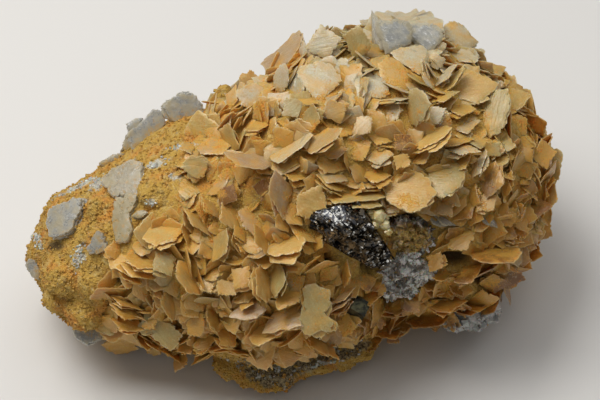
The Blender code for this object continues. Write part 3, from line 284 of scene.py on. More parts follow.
# Rounded lumps of the bare rock, and the broken rock lip: a pixel, the depth of its middle under the
# surface seen there, and three half sizes, all in millimetres.
Lump = namedtuple("Lump", "px py sunk sizes")
ROCK_LUMPS = (
    Lump(86, 312, 2.2, (5.6, 5.2, 4.8)),
    Lump(58, 300, 1.8, (4.2, 4.0, 3.6)),
    Lump(66, 276, 3.4, (6.8, 6.0, 5.0)),
    Lump(96, 282, 3.2, (5.4, 5.0, 4.4)),
    Lump(103, 210, 3.4, (4.8, 5.2, 4.6)),
    Lump(160, 192, 3.0, (6.2, 6.6, 4.4)),
    Lump(224, 98, 2.0, (2.6, 3.6, 4.4)),
)
LIP_LEDGES = (
    Lump(230, 362, 3.0, (5.4, 6.4, 3.4)),
    Lump(247, 367, 2.4, (5.6, 7.0, 3.6)),
    Lump(268, 374, 1.4, (6.4, 7.0, 4.0)),
    Lump(284, 371, 1.6, (4.6, 6.6, 4.2)),
    Lump(303, 361, 2.2, (6.6, 6.2, 3.6)),
    Lump(322, 358, 2.2, (5.4, 6.0, 3.4)),
    Lump(341, 353, 2.2, (5.6, 6.0, 3.4)),
    Lump(360, 347, 2.4, (5.0, 5.6, 3.2)),
)

# Crystals that stand free on the bare rock, by node: their blades and how thick each is, in millimetres.
# Those that lie follow the rock's slope, and the others face the viewer with their foot in the rock.
Tablet = namedtuple("Tablet", "blade thick lying")
FREE_CRYSTALS = {
    "grey_tabular_crystal": (Tablet(Blade(66, 222, 10.6, 8.8, 60, 1, 2.6), 3.6, True),),
    "grey_pointed_crystal": (Tablet(Blade(101, 242, 6.4, 4.8, 82, 1, 2.4), 2.8, True),),
    "broad_plate": (Tablet(Blade(124, 180, 11.4, 8.2, 12, 1, 2.6), 1.8, True),),
    "tall_plate": (Tablet(Blade(124, 221, 13.4, 6.8, 78, 1, 2.8), 1.8, True),
                   Tablet(Blade(139, 216, 5.2, 3.2, 20, 1, 2.4), 1.4, True)),
    "ridge_plate_right": (Tablet(Blade(182, 109, 12.6, 8.2, 4, 0, -1.6), 1.8, False),),
    "ridge_plate_left": (Tablet(Blade(147, 131, 12.0, 7.0, 38, 0, -1.2), 1.8, False),
                         Tablet(Blade(131, 128, 5.0, 3.0, 70, 0, 10.4), 1.6, False)),
    "ridge_plates_low": (Tablet(Blade(112, 160, 7.8, 4.0, 26, 0, -1.0), 1.6, False),
                         Tablet(Blade(123, 146, 5.8, 3.6, 72, 0, -1.0), 1.6, False)),
    "edge_crystal": (Tablet(Blade(35, 270, 7.0, 3.6, -62, 0, -1.0), 2.0, False),),
    "underside_crystal": (Tablet(Blade(86, 331, 9.2, 6.4, -35, 0, -1.0), 2.4, False),),
}

# The corners, in pixels, of blades and crystals whose outline in the view is their own: 6, 8, 12 or 24.
OUTLINES = {
    (66, 222): ((47, 226), (51, 208), (62, 204), (78, 196), (88, 197), (87, 206), (85, 214), (81, 222),
        (78, 230), (70, 237), (60, 240), (50, 238)),
    (101, 242): ((88, 249), (94, 239), (100, 230), (104, 231), (108, 240), (111, 249), (103, 254),
        (92, 255)),
    (124, 180): ((102, 179), (111, 170), (122, 165), (134, 160), (144, 164), (144, 175), (145, 188),
        (144, 202), (133, 200), (122, 197), (114, 199), (107, 190)),
    (124, 221): ((116, 198), (128, 193), (139, 194), (136, 205), (131, 213), (132, 222), (134, 232),
        (128, 243), (116, 244), (113, 228), (113, 214), (114, 204)),
    (139, 216): ((131, 217), (137, 211), (145, 210), (149, 213), (144, 218), (138, 220)),
    (182, 109): ((159, 107), (166, 100), (173, 95), (181, 91), (189, 91), (197, 96), (202, 103), (206, 112),
        (202, 124), (188, 124), (172, 124), (162, 115)),
    (147, 131): ((126, 139), (128, 132), (138, 125), (146, 117), (153, 109), (160, 110), (165, 118),
        (166, 124), (159, 133), (150, 142), (141, 149), (133, 151)),
    (131, 128): ((126, 124), (131, 121), (137, 118), (144, 118), (140, 128), (128, 132)),
    (112, 160): ((98, 164), (105, 159), (113, 154), (124, 153), (126, 158), (115, 163), (106, 167),
        (102, 168)),
    (123, 146): ((122, 149), (124, 140), (126, 134), (130, 138), (133, 150), (119, 153)),
    (283, 54): ((262, 66), (265, 61), (273, 55), (281, 48), (289, 40), (295, 33), (301, 32), (304, 40),
        (300, 50), (290, 62), (277, 73), (268, 78)),
    (281, 81): ((274, 78), (279, 67), (285, 63), (291, 70), (290, 81), (286, 90), (282, 95), (276, 89)),
    (326, 80): ((296, 73), (306, 67), (317, 61), (329, 64), (337, 71), (342, 82), (332, 91), (325, 99),
        (320, 105), (314, 99), (307, 92), (300, 84)),
    (251, 94): ((236, 92), (246, 85), (255, 83), (264, 89), (266, 97), (259, 105), (253, 111), (241, 107)),
    (375, 33): ((372, 11), (377, 17), (381, 29), (384, 44), (378, 50), (373, 40)),
    (393, 40): ((375, 24), (386, 21), (399, 20), (408, 22), (412, 32), (409, 43), (399, 51), (386, 54)),
    (427, 37): ((410, 26), (421, 24), (434, 25), (443, 32), (440, 42), (431, 53), (420, 48), (411, 41)),
    (408, 64): ((390, 54), (401, 48), (414, 46), (425, 48), (429, 60), (430, 72), (421, 77), (406, 67)),
    (438, 62): ((429, 57), (437, 53), (446, 59), (443, 66), (437, 70), (431, 67)),
    (460, 36): ((443, 25), (455, 20), (464, 26), (471, 36), (479, 42), (470, 49), (458, 50), (446, 42)),
    (463, 58): ((436, 50), (452, 55), (473, 49), (479, 57), (475, 64), (455, 62)),
    (473, 84): ((446, 93), (456, 81), (465, 68), (481, 75), (499, 84), (488, 96), (478, 105), (461, 100)),
    (494, 115): ((499, 89), (509, 90), (511, 106), (505, 121), (501, 133), (489, 138), (478, 134),
        (483, 118), (482, 105), (487, 98), (492, 93), (495, 90)),
    (491, 68): ((471, 65), (487, 64), (506, 69), (500, 77), (494, 81), (482, 74)),
    (376, 90): ((355, 80), (364, 72), (375, 75), (385, 83), (391, 95), (382, 99), (371, 98), (363, 110)),
    (393, 76): ((376, 64), (386, 58), (399, 62), (409, 72), (413, 85), (404, 92), (390, 88), (379, 79)),
    (414, 107): ((405, 93), (414, 88), (424, 92), (430, 104), (424, 117), (416, 128), (407, 121),
        (402, 107)),
    (195, 166): ((180, 168), (184, 162), (191, 155), (200, 156), (208, 162), (207, 170), (203, 179),
        (192, 177)),
    (192, 187): ((180, 182), (188, 177), (200, 179), (208, 185), (202, 193), (193, 197), (186, 201),
        (178, 192)),
    (217, 146): ((197, 150), (204, 141), (216, 137), (231, 133), (243, 139), (231, 148), (222, 156),
        (204, 156)),
    (249, 160): ((222, 153), (237, 156), (252, 154), (266, 153), (279, 157), (275, 166), (262, 171),
        (238, 169)),
    (298, 149): ((271, 157), (280, 147), (290, 136), (302, 133), (316, 136), (306, 146), (293, 156),
        (279, 167)),
    (279, 196): ((267, 184), (273, 170), (282, 178), (291, 191), (287, 203), (281, 219), (272, 203),
        (266, 194)),
    (249, 221): ((237, 211), (245, 206), (256, 209), (263, 221), (268, 236), (254, 236), (245, 229),
        (240, 220)),
    (287, 297): ((275, 302), (281, 293), (290, 287), (304, 291), (300, 302), (279, 310)),
    (404, 20): ((373, 17), (376, 14), (380, 16), (386, 12), (392, 15), (398, 13), (405, 15), (411, 13),
        (416, 11), (420, 15), (424, 12), (427, 17), (430, 14), (434, 19), (440, 21), (446, 26), (440, 33),
        (430, 31), (420, 29), (410, 31), (400, 28), (390, 31), (381, 29), (375, 25)),
    (437, 48): ((431, 44), (439, 41), (447, 44), (444, 51), (437, 58), (432, 52)),
    (251, 80): ((239, 84), (242, 76), (248, 71), (255, 72), (259, 79), (262, 88), (254, 90), (243, 90)),
    (410, 195): ((383, 190), (385, 181), (396, 174), (409, 169), (422, 173), (431, 182), (438, 194),
        (431, 203), (422, 211), (411, 215), (398, 208), (386, 199)),
    (437, 181): ((428, 178), (433, 167), (444, 161), (456, 160), (464, 168), (466, 176), (461, 186),
        (454, 192), (443, 199), (437, 197), (432, 192), (428, 185)),
    (389, 207): ((380, 209), (384, 202), (391, 199), (396, 205), (400, 213), (389, 215)),
    (347, 200): ((324, 196), (334, 190), (352, 188), (372, 190), (386, 196), (376, 201), (352, 203),
        (334, 204)),
    (310, 202): ((296, 196), (307, 190), (321, 185), (325, 195), (326, 208), (314, 213), (309, 219),
        (297, 216)),
    (170, 331): ((144, 313), (157, 315), (165, 322), (177, 327), (183, 337), (178, 346), (171, 351),
        (163, 346), (153, 337), (154, 331), (148, 331), (142, 326)),
    (197, 328): ((187, 320), (194, 311), (203, 313), (206, 322), (203, 336), (189, 334)),
    (286, 318): ((262, 333), (275, 312), (286, 308), (301, 303), (302, 325), (287, 331), (281, 330),
        (272, 334)),
    (262, 334): ((244, 334), (256, 327), (270, 316), (279, 325), (282, 333), (271, 341), (259, 348),
        (251, 341)),
    (249, 309): ((229, 318), (240, 307), (249, 299), (260, 304), (266, 313), (257, 320)),
    (316, 298): ((302, 288), (316, 283), (331, 290), (331, 304), (325, 313), (334, 322), (330, 331),
        (321, 330), (312, 336), (303, 333), (300, 316), (304, 302)),
}

# Colours, from 0 to 1 in red, green and blue.
WHITE, WARM_WHITE = (1, 1, 1), (1.0, 0.98, 0.95)
PALE = (0.58, 0.52, 0.38)
MAUVE = (0.48, 0.36, 0.23)
SAGE = (0.46, 0.38, 0.17)
BEIGE = (0.60, 0.41, 0.145)
HONEY = (0.58, 0.35, 0.085)
# Amber, darkened as painted shade for the lower right, which faces away from the light.
SHADED_AMBER = (0.24, 0.11, 0.014)
OCHRE = (0.72, 0.39, 0.06)
ORANGE = (0.80, 0.32, 0.045)
# Dark brown painted as shade in crevices, low spots and between crumbs.
CREVICE_SHADE = (0.30, 0.13, 0.03)
GLASSY = (0.37, 0.37, 0.345)
WARM_CRYSTALS = {
    "broad_plate": (0.45, 0.39, 0.27),
    "tall_plate": (0.46, 0.38, 0.21),
    "ridge_plates_low": (0.40, 0.34, 0.22),
}

# How blades look over the specimen: a place in pixels, how far its hold reaches, its colours and its dust.
Zone = namedtuple("Zone", "px py reach colours dust")
ZONES = (
    Zone(330, 40, 60, (PALE, PALE, SAGE), -0.10),
    Zone(420, 50, 60, (PALE, PALE, SAGE), -0.12),
    Zone(250, 90, 40, (PALE, BEIGE), 0.03),
    Zone(210, 170, 50, (SAGE, BEIGE, MAUVE), 0.0),
    Zone(270, 200, 60, (BEIGE, HONEY, MAUVE), 0.0),
    Zone(340, 150, 60, (BEIGE, PALE, BEIGE, HONEY), 0.03),
    Zone(420, 120, 60, (BEIGE, PALE, PALE, SAGE), -0.02),
    Zone(420, 190, 40, (SAGE, PALE, BEIGE), 0.02),
    Zone(500, 150, 60, (SAGE, HONEY, BEIGE), 0.03),
    Zone(160, 270, 50, (SAGE, HONEY, BEIGE), 0.0),
    Zone(150, 330, 50, (HONEY, BEIGE), 0.0),
    Zone(260, 300, 60, (HONEY, BEIGE), 0.02),
    # The lower right's dark amber is painted shade.
    Zone(510, 225, 50, (HONEY, HONEY, SHADED_AMBER), 0.06),
    Zone(470, 290, 75, (SHADED_AMBER,), 0.03),
    Zone(455, 245, 50, (SHADED_AMBER, SHADED_AMBER, HONEY), 0.05),
)
LEAST_WEIGHT = 1e-6  # what a zone weighs at least, however far away it is
# Blades whose colour stands out from their neighbours', by their middles.
OWN_COLOURS = {
    (279, 196): MAUVE, (249, 160): MAUVE, (216, 188): MAUVE, (249, 221): MAUVE, (217, 146): MAUVE,
    (195, 166): SAGE, (192, 187): SAGE, (228, 195): SHADED_AMBER, (263, 190): SHADED_AMBER, (310, 202): BEIGE,
    (410, 195): BEIGE, (437, 181): SAGE, (389, 207): PALE, (316, 298): SAGE, (325, 318): SAGE,
    (326, 80): PALE, (324, 43): PALE, (283, 54): MAUVE, (404, 20): PALE, (437, 48): PALE, (408, 64): PALE,
    (460, 36): PALE, (463, 58): PALE, (376, 90): PALE, (281, 81): PALE, (251, 94): PALE, (438, 62): PALE,
    (473, 84): BEIGE, (494, 115): SAGE, (164, 263): SAGE, (170, 331): SAGE, (496, 255): SHADED_AMBER,
    (262, 334): BEIGE, (286, 318): MAUVE, (249, 309): MAUVE, (262, 283): BEIGE, (278, 279): SAGE,
    (347, 200): SAGE, (375, 175): HONEY,
}

# Patches of the surface as seen in the view: middle, half length and width in pixels, and turn in degrees.
Patch = namedtuple("Patch", "px py long wide turn")
# Pale patches of the bare rock and the lip; the long thin one at (78, 187) along the rock's upper outline is
# a painted highlight.
PALE_PATCHES_AND_HIGHLIGHT = (
    Patch(157, 164, 12, 5, 22), Patch(176, 176, 8, 4, 10), Patch(184, 147, 17, 3, 10),
    Patch(97, 185, 8, 5, 35), Patch(78, 187, 24, 2.5, 27), Patch(79, 257, 7, 14, -18),
    Patch(150, 203, 6, 4, 0), Patch(38, 240, 4, 9, 20), Patch(120, 197, 5, 4, 0),
    Patch(281, 362, 24, 3.5, 68), Patch(252, 373, 26, 2.4, -27), Patch(318, 365, 30, 2, 12),
)
WHITE_SOFT = 0.8
# Where ochre dust lies thick on the blades, and by how much.
DUST_PATCHES = (
    Patch(262, 139, 15, 6, 5), Patch(263, 107, 10, 5, 0), Patch(322, 128, 9, 6, 10),
    Patch(221, 194, 5, 5, 0), Patch(253, 205, 5, 3, 0), Patch(279, 238, 10, 4, 20),
    Patch(229, 167, 9, 9, 0), Patch(203, 210, 12, 8, -50), Patch(392, 93, 4, 5, 0),
    Patch(362, 48, 12, 5, -10), Patch(421, 113, 3, 5, -30), Patch(430, 128, 6, 4, 20),
    Patch(451, 119, 8, 5, 0), Patch(527, 124, 6, 8, -60), Patch(408, 200, 8, 5, 10),
    Patch(325, 272, 10, 8, 20), Patch(182, 240, 6, 10, 30), Patch(300, 232, 8, 4, 20),
    Patch(208, 262, 8, 6, 0), Patch(350, 330, 8, 6, 0),
)
THICK_DUST, DUST_SOFT = 0.30, 0.5
LIP_PATCHES = (
    Patch(262, 372, 24, 12, -30), Patch(300, 360, 26, 14, 10), Patch(345, 350, 24, 9, 15),
    Patch(285, 378, 12, 10, 30),
)
BROWN_PATCHES = (Patch(408, 238, 24, 15, 0),)
DARK_PATCHES = (Patch(292, 343, 9, 7, -30), Patch(267, 358, 7, 9, 20))
# Small places on the bare rock under the grey tabular crystal, painted nearly black as shade, and how dark.
ROCK_SHADE_PATCHES = (Patch(55, 246, 9, 5, 0), Patch(84, 244, 4, 3, 0))
ROCK_SHADE_SHARE = 0.8
# Hollows between the blades, dug into the crust's bed and painted nearly black as shade.
SHADED_HOLLOWS = (
    Patch(408, 221, 20, 7, -8), Patch(492, 234, 10, 6, 0), Patch(455, 261, 16, 7, 0),
    Patch(490, 281, 20, 7, 0), Patch(126, 281, 11, 5, -15), Patch(371, 267, 10, 5, -10),
    Patch(228, 338, 20, 6, 0), Patch(300, 285, 6, 5, 0), Patch(386, 301, 10, 4, -10),
    Patch(440, 296, 14, 4, 10), Patch(327, 262, 8, 5, -40), Patch(190, 352, 10, 4, 0),
)
# Where the crust carries no blades but the listed ones: bare rock, and the places of the other minerals.
BARE_PATCHES = (Patch(153, 190, 32, 24, 70), Patch(127, 226, 12, 22, 0))
OPEN_PATCHES = (
    Patch(350, 232, 40, 23, -30), Patch(410, 238, 23, 14, 0), Patch(404, 274, 28, 17, 15),
    Patch(379, 220, 11, 12, 0), Patch(357, 308, 11, 11, 0),
)
KEPT_CLEAR = BARE_PATCHES + OPEN_PATCHES + SHADED_HOLLOWS

# One thin crystal, and how finely it is made: points round its rim, which its corners' number divides, and
# the rings of them between its middle and its rim.
Flake = namedtuple("Flake", "corners normal thick colour detail bend dust")
Detail = namedtuple("Detail", "sides rings")
LARGE = Detail(72, (0.55, 0.94))
SECOND = Detail(48, (0.6, 0.94))
SMALL = Detail(24, (0.85,))
BEVEL_POWER = 12
SIDE_BULGE = (-0.04, 0.09)
# How far each stretch of a side stands back or out, as a share of the blade's size.
STEP, STEPS, FIRST_STEP = (-0.055, 0.03), 4, 0.9
TOOTH, TEETH_SHARE, CHIP, CHIPPED_SHARE = 0.19 * MM, (0.3, 1.4), 0.36 * MM, 0.08
LEAF_TIP = 1.1 * MM  # how far the rim of a leaf behind the front one may tip
RIPPLE, RIPPLE_SCALE = 0.05 * MM, 0.6 * MM
# A free crystal's layers: how thick each is about, in millimetres, and how they overlap and lie aside.
LAYER_THICK, LAYER_OVERLAP, LAYER_ASIDE, LAYER_GROWN = 0.9, 1.3, 0.07, (0.88, 1.0)
CRYSTAL_BEND = 0.2 * MM

ROCK_RINGS, ROCK_SIDES, ROCK_VOXEL = 150, 110, 0.7 * MM
GRANULES = ((0.5 * MM, 2.3 * MM), (0.26 * MM, 1.1 * MM))  # heights and sizes of the crust's rounded grains
GRANULE_MIDDLE = 0.6
# How many places are tried for loose grains, and the grains' sizes in millimetres.
OCHRE_GRAINS, PALE_GRAINS, CRUMBS = 26000, 42000, 9000
GRAIN_SIZE, CRUMB_SCALE = (0.16, 0.48), 5 * MM

# The pyrite's blocks, and how the cluster is seen: its middle in pixels, and its share of the solid's size.
BLOCKS, LARGEST_BLOCK, RIDGED_SHARE = 1900, 1.9 * MM, 0.45
# Where a blue-grey sheen is painted on the pyrite's upper left, towards the light.
PAINTED_SHEEN_PATCHES = (Patch(333, 214, 17, 8, -10),)
RUST_PATCHES = (Patch(357, 249, 24, 4, -42), Patch(338, 240, 14, 3, -42))
PYRITE_SEEN, PYRITE_SHARE, PYRITE_UP = (352, 234), 0.93, 0.7 * MM
# Its upper, lower and right borders in the view, each as two pixels with the cluster on its right side.
PYRITE_BORDERS = (((311, 213), (362, 199)), ((374, 269), (322, 240)), ((360, 204), (391, 254)))
RIDGE = (math.cos(math.radians(40)) * RIGHT - math.sin(math.radians(40)) * UP).normalized()
PRESSED_SHARE = 0.85  # how far what stands over a border is brought back to it
CUBE_RAISED, CUBE_GROWN, CUBE_BEVEL = 3.6 * MM, 1.1, 0.12 * MM
# The druses' points: how many, and their widths in millimetres. This share of them are plates.
GREY_POINTS, WHITE_POINTS, PLATE_SHARE = (560, (1.0, 2.1)), (240, (1.0, 2.6)), 0.4
# The pale grain's lumps: a pixel, the radius in pixels, and how much nearer than the solid in millimetres.
Ball = namedtuple("Ball", "px py radius nearer")
PALE_GRAIN = (
    Ball(379, 217, 8.0, 0.8), Ball(375, 225, 5.0, 0.6), Ball(385, 225, 5.6, 0.7), Ball(371, 213, 4.6, 0.5),
    Ball(388, 232, 4.6, 0.4),
)

# The studio: each lamp's place in metres, width, power and colour.
LAMPS = (
    ("key", (-0.32, 0.10, 0.74), 0.5, 5.2, WARM_WHITE),
    ("top", (0.12, 0.12, 0.85), 0.9, 2.2, WHITE),
    ("front", (-0.20, -0.70, 0.65), 0.6, 0.55, WHITE),
    ("rim", (0.6, 0.5, 0.5), 0.4, 0.4, WHITE),
)
WORLD_STRENGTH = 0.12
FLOOR_HALF, FLOOR_COLOUR = 3, (0.72, 0.71, 0.69)


def between(table, place):
    """The value of a table of (place, value) pairs at a place, by straight lines between its entries."""
    for (left, low), (right, high) in zip(table, table[1:]):
        if place <= right:
            return low + (high - low) * max(0, place - left) / (right - left)
    return table[-1][1]


def smooth(share):
    share = min(max(share, 0), 1)
    return share * share * (3 - 2 * share)


def middle_of(points):
    return sum(points, Vector()) / len(points)


def in_view(px, py, depth=0.0):
    """The point that is seen at a pixel, at a depth towards the viewer from the target's plane."""
    scale = PIXEL * (1 - depth / VIEW_DISTANCE)
    across = (px - FRAME_MIDDLE[0]) * scale
    above = (FRAME_MIDDLE[1] - py) * scale
    return VIEW_TARGET + across * RIGHT + above * UP + depth * TOWARD


def pixel_of(point):
    """The pixel at which a point is seen, and its depth towards the viewer."""
    offset = point - VIEW_TARGET
    depth = offset.dot(TOWARD)
    scale = PIXEL * (1 - depth / VIEW_DISTANCE)
    return FRAME_MIDDLE[0] + offset.dot(RIGHT) / scale, FRAME_MIDDLE[1] - offset.dot(UP) / scale, depth


def pixels_of(points):
    """The pixels at which many points are seen, as an array of columns and rows."""
    offset = points - np.array(VIEW_TARGET)
    scale = PIXEL * (1 - offset @ np.array(TOWARD) / VIEW_DISTANCE)
    px = FRAME_MIDDLE[0] + offset @ np.array(RIGHT) / scale
    py = FRAME_MIDDLE[1] - offset @ np.array(UP) / scale
    return np.stack([px, py], axis=1)


def patched(pixels, patches, soft=0.35):
    """How much each pixel lies in any of these patches, from 0 to 1, with soft edges."""
    share = np.zeros(len(pixels))
    for patch in patches:
        turn = math.radians(patch.turn)
        dx, dy = pixels[:, 0] - patch.px, patch.py - pixels[:, 1]
        along = (dx * math.cos(turn) + dy * math.sin(turn)) / patch.long
        across = (dy * math.cos(turn) - dx * math.sin(turn)) / patch.wide
        distance = np.sqrt(along ** 2 + across ** 2)
        share = np.maximum(share, np.clip((1 + soft - distance) / (2 * soft), 0, 1))
    return share


def in_patches(point, patches):
    """Whether a point is seen in one of these patches."""
    return patched(np.array([pixel_of(point)[:2]]), patches)[0] > 0.5


def section(place):
    """Column, middle, half depth and half height of the rock's section at a place counted in stations."""
    first = min(int(place), len(STATIONS) - 2)
    share = place - first
    last = len(STATIONS) - 1
    before, start, end, after = (Vector(STATIONS[min(max(first + k, 0), last)]) for k in (-1, 0, 1, 2))
    px, top, bottom, axis = 0.5 * (2 * start + (end - before) * share
                                   + (2 * before - 5 * start + 4 * end - after) * share ** 2
                                   + (3 * start - before - 3 * end + after) * share ** 3)
    sine, cosine = math.sin(VIEW_ELEVATION), math.cos(VIEW_ELEVATION)
    half = (bottom - top) / 2 * PIXEL
    seen = (FRAME_MIDDLE[1] - (top + bottom) / 2) * PIXEL
    rise = axis * MM - VIEW_TARGET.z
    back = (seen - rise * cosine) / sine
    scale = 1 - (rise * sine - back * cosine) / VIEW_DISTANCE
    across = (px - FRAME_MIDDLE[0]) * PIXEL * scale
    middle = VIEW_TARGET + Vector((across, (seen * scale - rise * cosine) / sine, rise))
    depth_share = math.sqrt(1 - HEIGHT_SHARE ** 2)
    return px, middle, depth_share * half / sine, HEIGHT_SHARE * half / cosine


def rock_point(place, angle, proud):
    """A point of the rock, at degrees round its section from the back, set out by proud(px, angle, z)."""
    px, middle, depth, height = section(place)
    cosine, sine = math.cos(math.radians(angle)), math.sin(math.radians(angle))
    point = middle + Vector((0, depth * cosine, height * sine))
    out = Vector((0, cosine / depth, sine / height)).normalized()
    bare = 1 - smooth(crust_reach(px, angle, point.z) / BARE_FADE)
    bumps = BROAD_BUMP * noise.noise(point / BROAD_SCALE)
    bumps += SMALL_BUMP * bare * noise.noise(point / SMALL_SCALE)
    offset = max(-DEEPEST_SHARE * min(depth, height), bumps + proud(px, angle, point.z))
    # Deep offsets go straight towards the section's middle, so that the surface can't fold over itself.
    return point + (out if offset > 0 else (point - middle).normalized()) * offset


def crust_reach(px, angle, z):
    """How far inside the crust's borders a place is, in metres, negative on the bare rock."""
    wander = BORDER_WANDER * noise.noise(Vector((angle / WANDER_TURN, z / WANDER_RISE, WANDER_PHASE)))
    beside = (px - between(CRUST_START, angle % 360)) * PIXEL + wander
    foot = between(FRONT_FOOT, px) if 90 < angle % 360 < 270 else BACK_FOOT
    return min(beside, z - foot * MM)


def crust_column(px, point):
    """How far inside the crust's borders a point of the rock is, by its column and its angle."""
    columns = [station.px for station in STATIONS]
    _, middle, depth, height = section(float(np.interp(px, columns, range(len(columns)))))
    angle = math.degrees(math.atan2((point[2] - middle.z) / height, (point[1] - middle.y) / depth))
    return crust_reach(px, angle, point[2])


def bare_form(px, angle, z):
    return 0.0


def under_crust(px, angle, z):
    return -CRUST_DEPTH * smooth(crust_reach(px, angle, z) / CRUST_FADE)


def bed_top(px, angle, z):
    sunk = 1 - smooth((crust_reach(px, angle, z) + CRUST_SPREAD) / CRUST_FADE)
    return -CRUST_UNDER - CRUST_SINK * sunk + between(BED_RAISED, angle % 360) * MM


def new_object(name, mesh_data):
    """An object made from a bmesh, linked to the scene."""
    mesh = bpy.data.meshes.new(name)
    mesh_data.to_mesh(mesh)
    mesh_data.free()
    made = bpy.data.objects.new(name, mesh)
    bpy.context.scene.collection.objects.link(made)
    return made


def copy_of(node):
    """A bmesh that holds a copy of a node's mesh."""
    mesh_data = bmesh.new()
    mesh_data.from_mesh(node.data)
    return mesh_data


def remove(piece):
    mesh = piece.data
    bpy.data.objects.remove(piece)
    bpy.data.meshes.remove(mesh)


def tree_of(node):
    """A node's triangles, for finding the nearest of them and what a line meets."""
    return BVHTree.FromPolygons([vertex.co for vertex in node.data.vertices],
                                [face.vertices for face in node.data.polygons])


def vectors_of(items, field):
    """One vector of each item of a mesh, as an array."""
    vectors = np.empty(len(items) * 3)
    items.foreach_get(field, vectors)
    return vectors.reshape(-1, 3)


def point_value(mesh, name, values):
    layer = mesh.attributes.new(name, "FLOAT", "POINT")
    layer.data.foreach_set("value", values.astype(np.float32))


def mark_seen(piece, **values):
    """Gives a piece point values that say where in the view its points lie in patches."""
    pixels = pixels_of(vectors_of(piece.data.vertices, "co") - np.array(SHIFT))
    for name, patches in values.items():
        point_value(piece.data, name, patched(pixels, patches))


def lofted(name, places, sides, proud):
    """A closed surface round the rock's axis, with rings at these places and a point beyond each end."""
    mesh_data = bmesh.new()
    angles = [360 * k / sides for k in range(sides)]
    rings = [[mesh_data.verts.new(rock_point(place, angle, proud)) for angle in angles] for place in places]
    for ring, following in zip(rings, rings[1:]):
        for k in range(sides):
            mesh_data.faces.new((ring[k], following[k], following[k - 1]))
            mesh_data.faces.new((ring[k], following[k - 1], ring[k - 1]))
    for ring, side in ((rings[0], -1), (rings[-1], 1)):
        middle = middle_of([vertex.co for vertex in ring])
        tip = mesh_data.verts.new(middle + Vector((side * END_ROUNDING, 0, 0)))
        for k in range(sides):
            mesh_data.faces.new((ring[k - 1], ring[k], tip)[::side])
    bmesh.ops.recalc_face_normals(mesh_data, faces=mesh_data.faces)
    return new_object(name, mesh_data)


def remesh(piece, voxel):
    """Fuses a piece's overlapping shapes in one even mesh of this fineness."""
    modifier = piece.modifiers.new("fuse", "REMESH")
    modifier.mode = "VOXEL"
    modifier.voxel_size = voxel
    bpy.context.view_layer.update()
    evaluated = piece.evaluated_get(bpy.context.evaluated_depsgraph_get())
    mesh = bpy.data.meshes.new_from_object(evaluated)
    piece.modifiers.clear()
    old = piece.data
    piece.data = mesh
    bpy.data.meshes.remove(old)
    mesh.name = piece.name


def outline(long, wide, draw, corners):
    """Corner offsets of a blade's outline, pointed at both ends, each a little out of place."""
    for angle in CORNER_ANGLES[corners]:
        turn = math.radians(angle + draw.uniform(-CORNER_TURN, CORNER_TURN))
        size = draw.uniform(*CORNER_SIZE)
        yield size * long / 2 * math.cos(turn), size * wide / 2 * math.sin(turn) * CORNER_WIDENED


def seen_normal(blade, draw):
    """A listed blade's tilt and its face's direction: the narrower it looks, the more it tips up or down."""
    share = min(1, blade.wide / (FULL_WIDTH_SHARE * blade.long))
    tilt = min(MOST_TILT, math.acos(share))
    turn = math.radians(blade.turn)
    along = math.cos(turn) * RIGHT + math.sin(turn) * UP
    across = -math.sin(turn) * RIGHT + math.cos(turn) * UP
    if across.dot(UP) < 0:
        across = -across
    normal = math.cos(tilt) * TOWARD + blade.face * math.sin(tilt) * across
    return tilt, (normal + along * draw.uniform(-FACE_TURN, FACE_TURN)).normalized()


def plate_corners(blade, normal, depth, offsets):
    """The corners of a listed blade: each sight line of its outline, met with its plane at a depth."""
    middle = in_view(blade.px, blade.py, depth)
    for across, above in offsets:
        sight = (in_view(blade.px + across, blade.py - above) - EYE).normalized()
        yield EYE + sight * (middle - EYE).dot(normal) / sight.dot(normal)


def surface_depth(rock, point):
    """How far towards the viewer the rock lies on the sight line through a point, or None beside it."""
    hit = rock.ray_cast(EYE, (point - EYE).normalized())[0]
    return (hit - VIEW_TARGET).dot(TOWARD) if hit else None


def rock_depth(seen, rock):
    """How far towards the viewer the rock lies at a listed thing's pixel, or the nearest rock beside it."""
    point = in_view(seen.px, seen.py)
    depth = surface_depth(rock, point)
    if depth is None:
        depth = (rock.find_nearest(point)[0] - VIEW_TARGET).dot(TOWARD)
    return depth


def placed_blade(blade, rock, draw, count, lying=False):
    """A listed blade's corners and normal, slid along its sight line until its deepest side is rooted."""
    tilt, normal = seen_normal(blade, draw)
    if lying:
        tilt = math.pi / 2
        slope = rock.find_nearest(in_view(blade.px, blade.py, rock_depth(blade, rock)))[1]
        normal = (slope + LYING_LEAN * TOWARD).normalized()
    turn = math.radians(blade.turn)
    cosine, sine = math.cos(turn), math.sin(turn)
    offsets = [((along * cosine - across * sine) * MM / PIXEL, (along * sine + across * cosine) * MM / PIXEL)
               for along, across in outline(blade.long, blade.wide, draw, count)]
    flat = list(plate_corners(blade, normal, 0, offsets))
    wanted = []
    for corner in flat + [in_view(blade.px, blade.py)]:
        depth = surface_depth(rock, corner)
        if depth is not None:
            wanted.append(depth - (corner - VIEW_TARGET).dot(TOWARD))
    if not wanted:
        wanted.append(rock_depth(blade, rock))
    root = -FLAT_RAISED if tilt < FLAT_TILT else ROOT_DEPTH
    at_rim = len(wanted) <= len(flat)
    depth = max(wanted) - root - (RIM_SINK if at_rim else 0) + blade.lift * MM
    corners = list(plate_corners(blade, normal, depth, offsets))
    raised = FLOOR_CLEARANCE + BLADE_THICK / 2 - min(corner.z for corner in corners)
    if raised > 0:
        corners = [corner + Vector((0, 0, raised)) for corner in corners]
    return corners, normal


def seen_corners(blade, corners, normal):
    """A blade's corners, moved in its own plane to its own outline in the view where it has one."""
    offsets = [(px - blade.px, blade.py - py) for px, py in OUTLINES.get((blade.px, blade.py), ())]
    return list(plate_corners(blade, normal, pixel_of(middle_of(corners))[2], offsets)) or corners


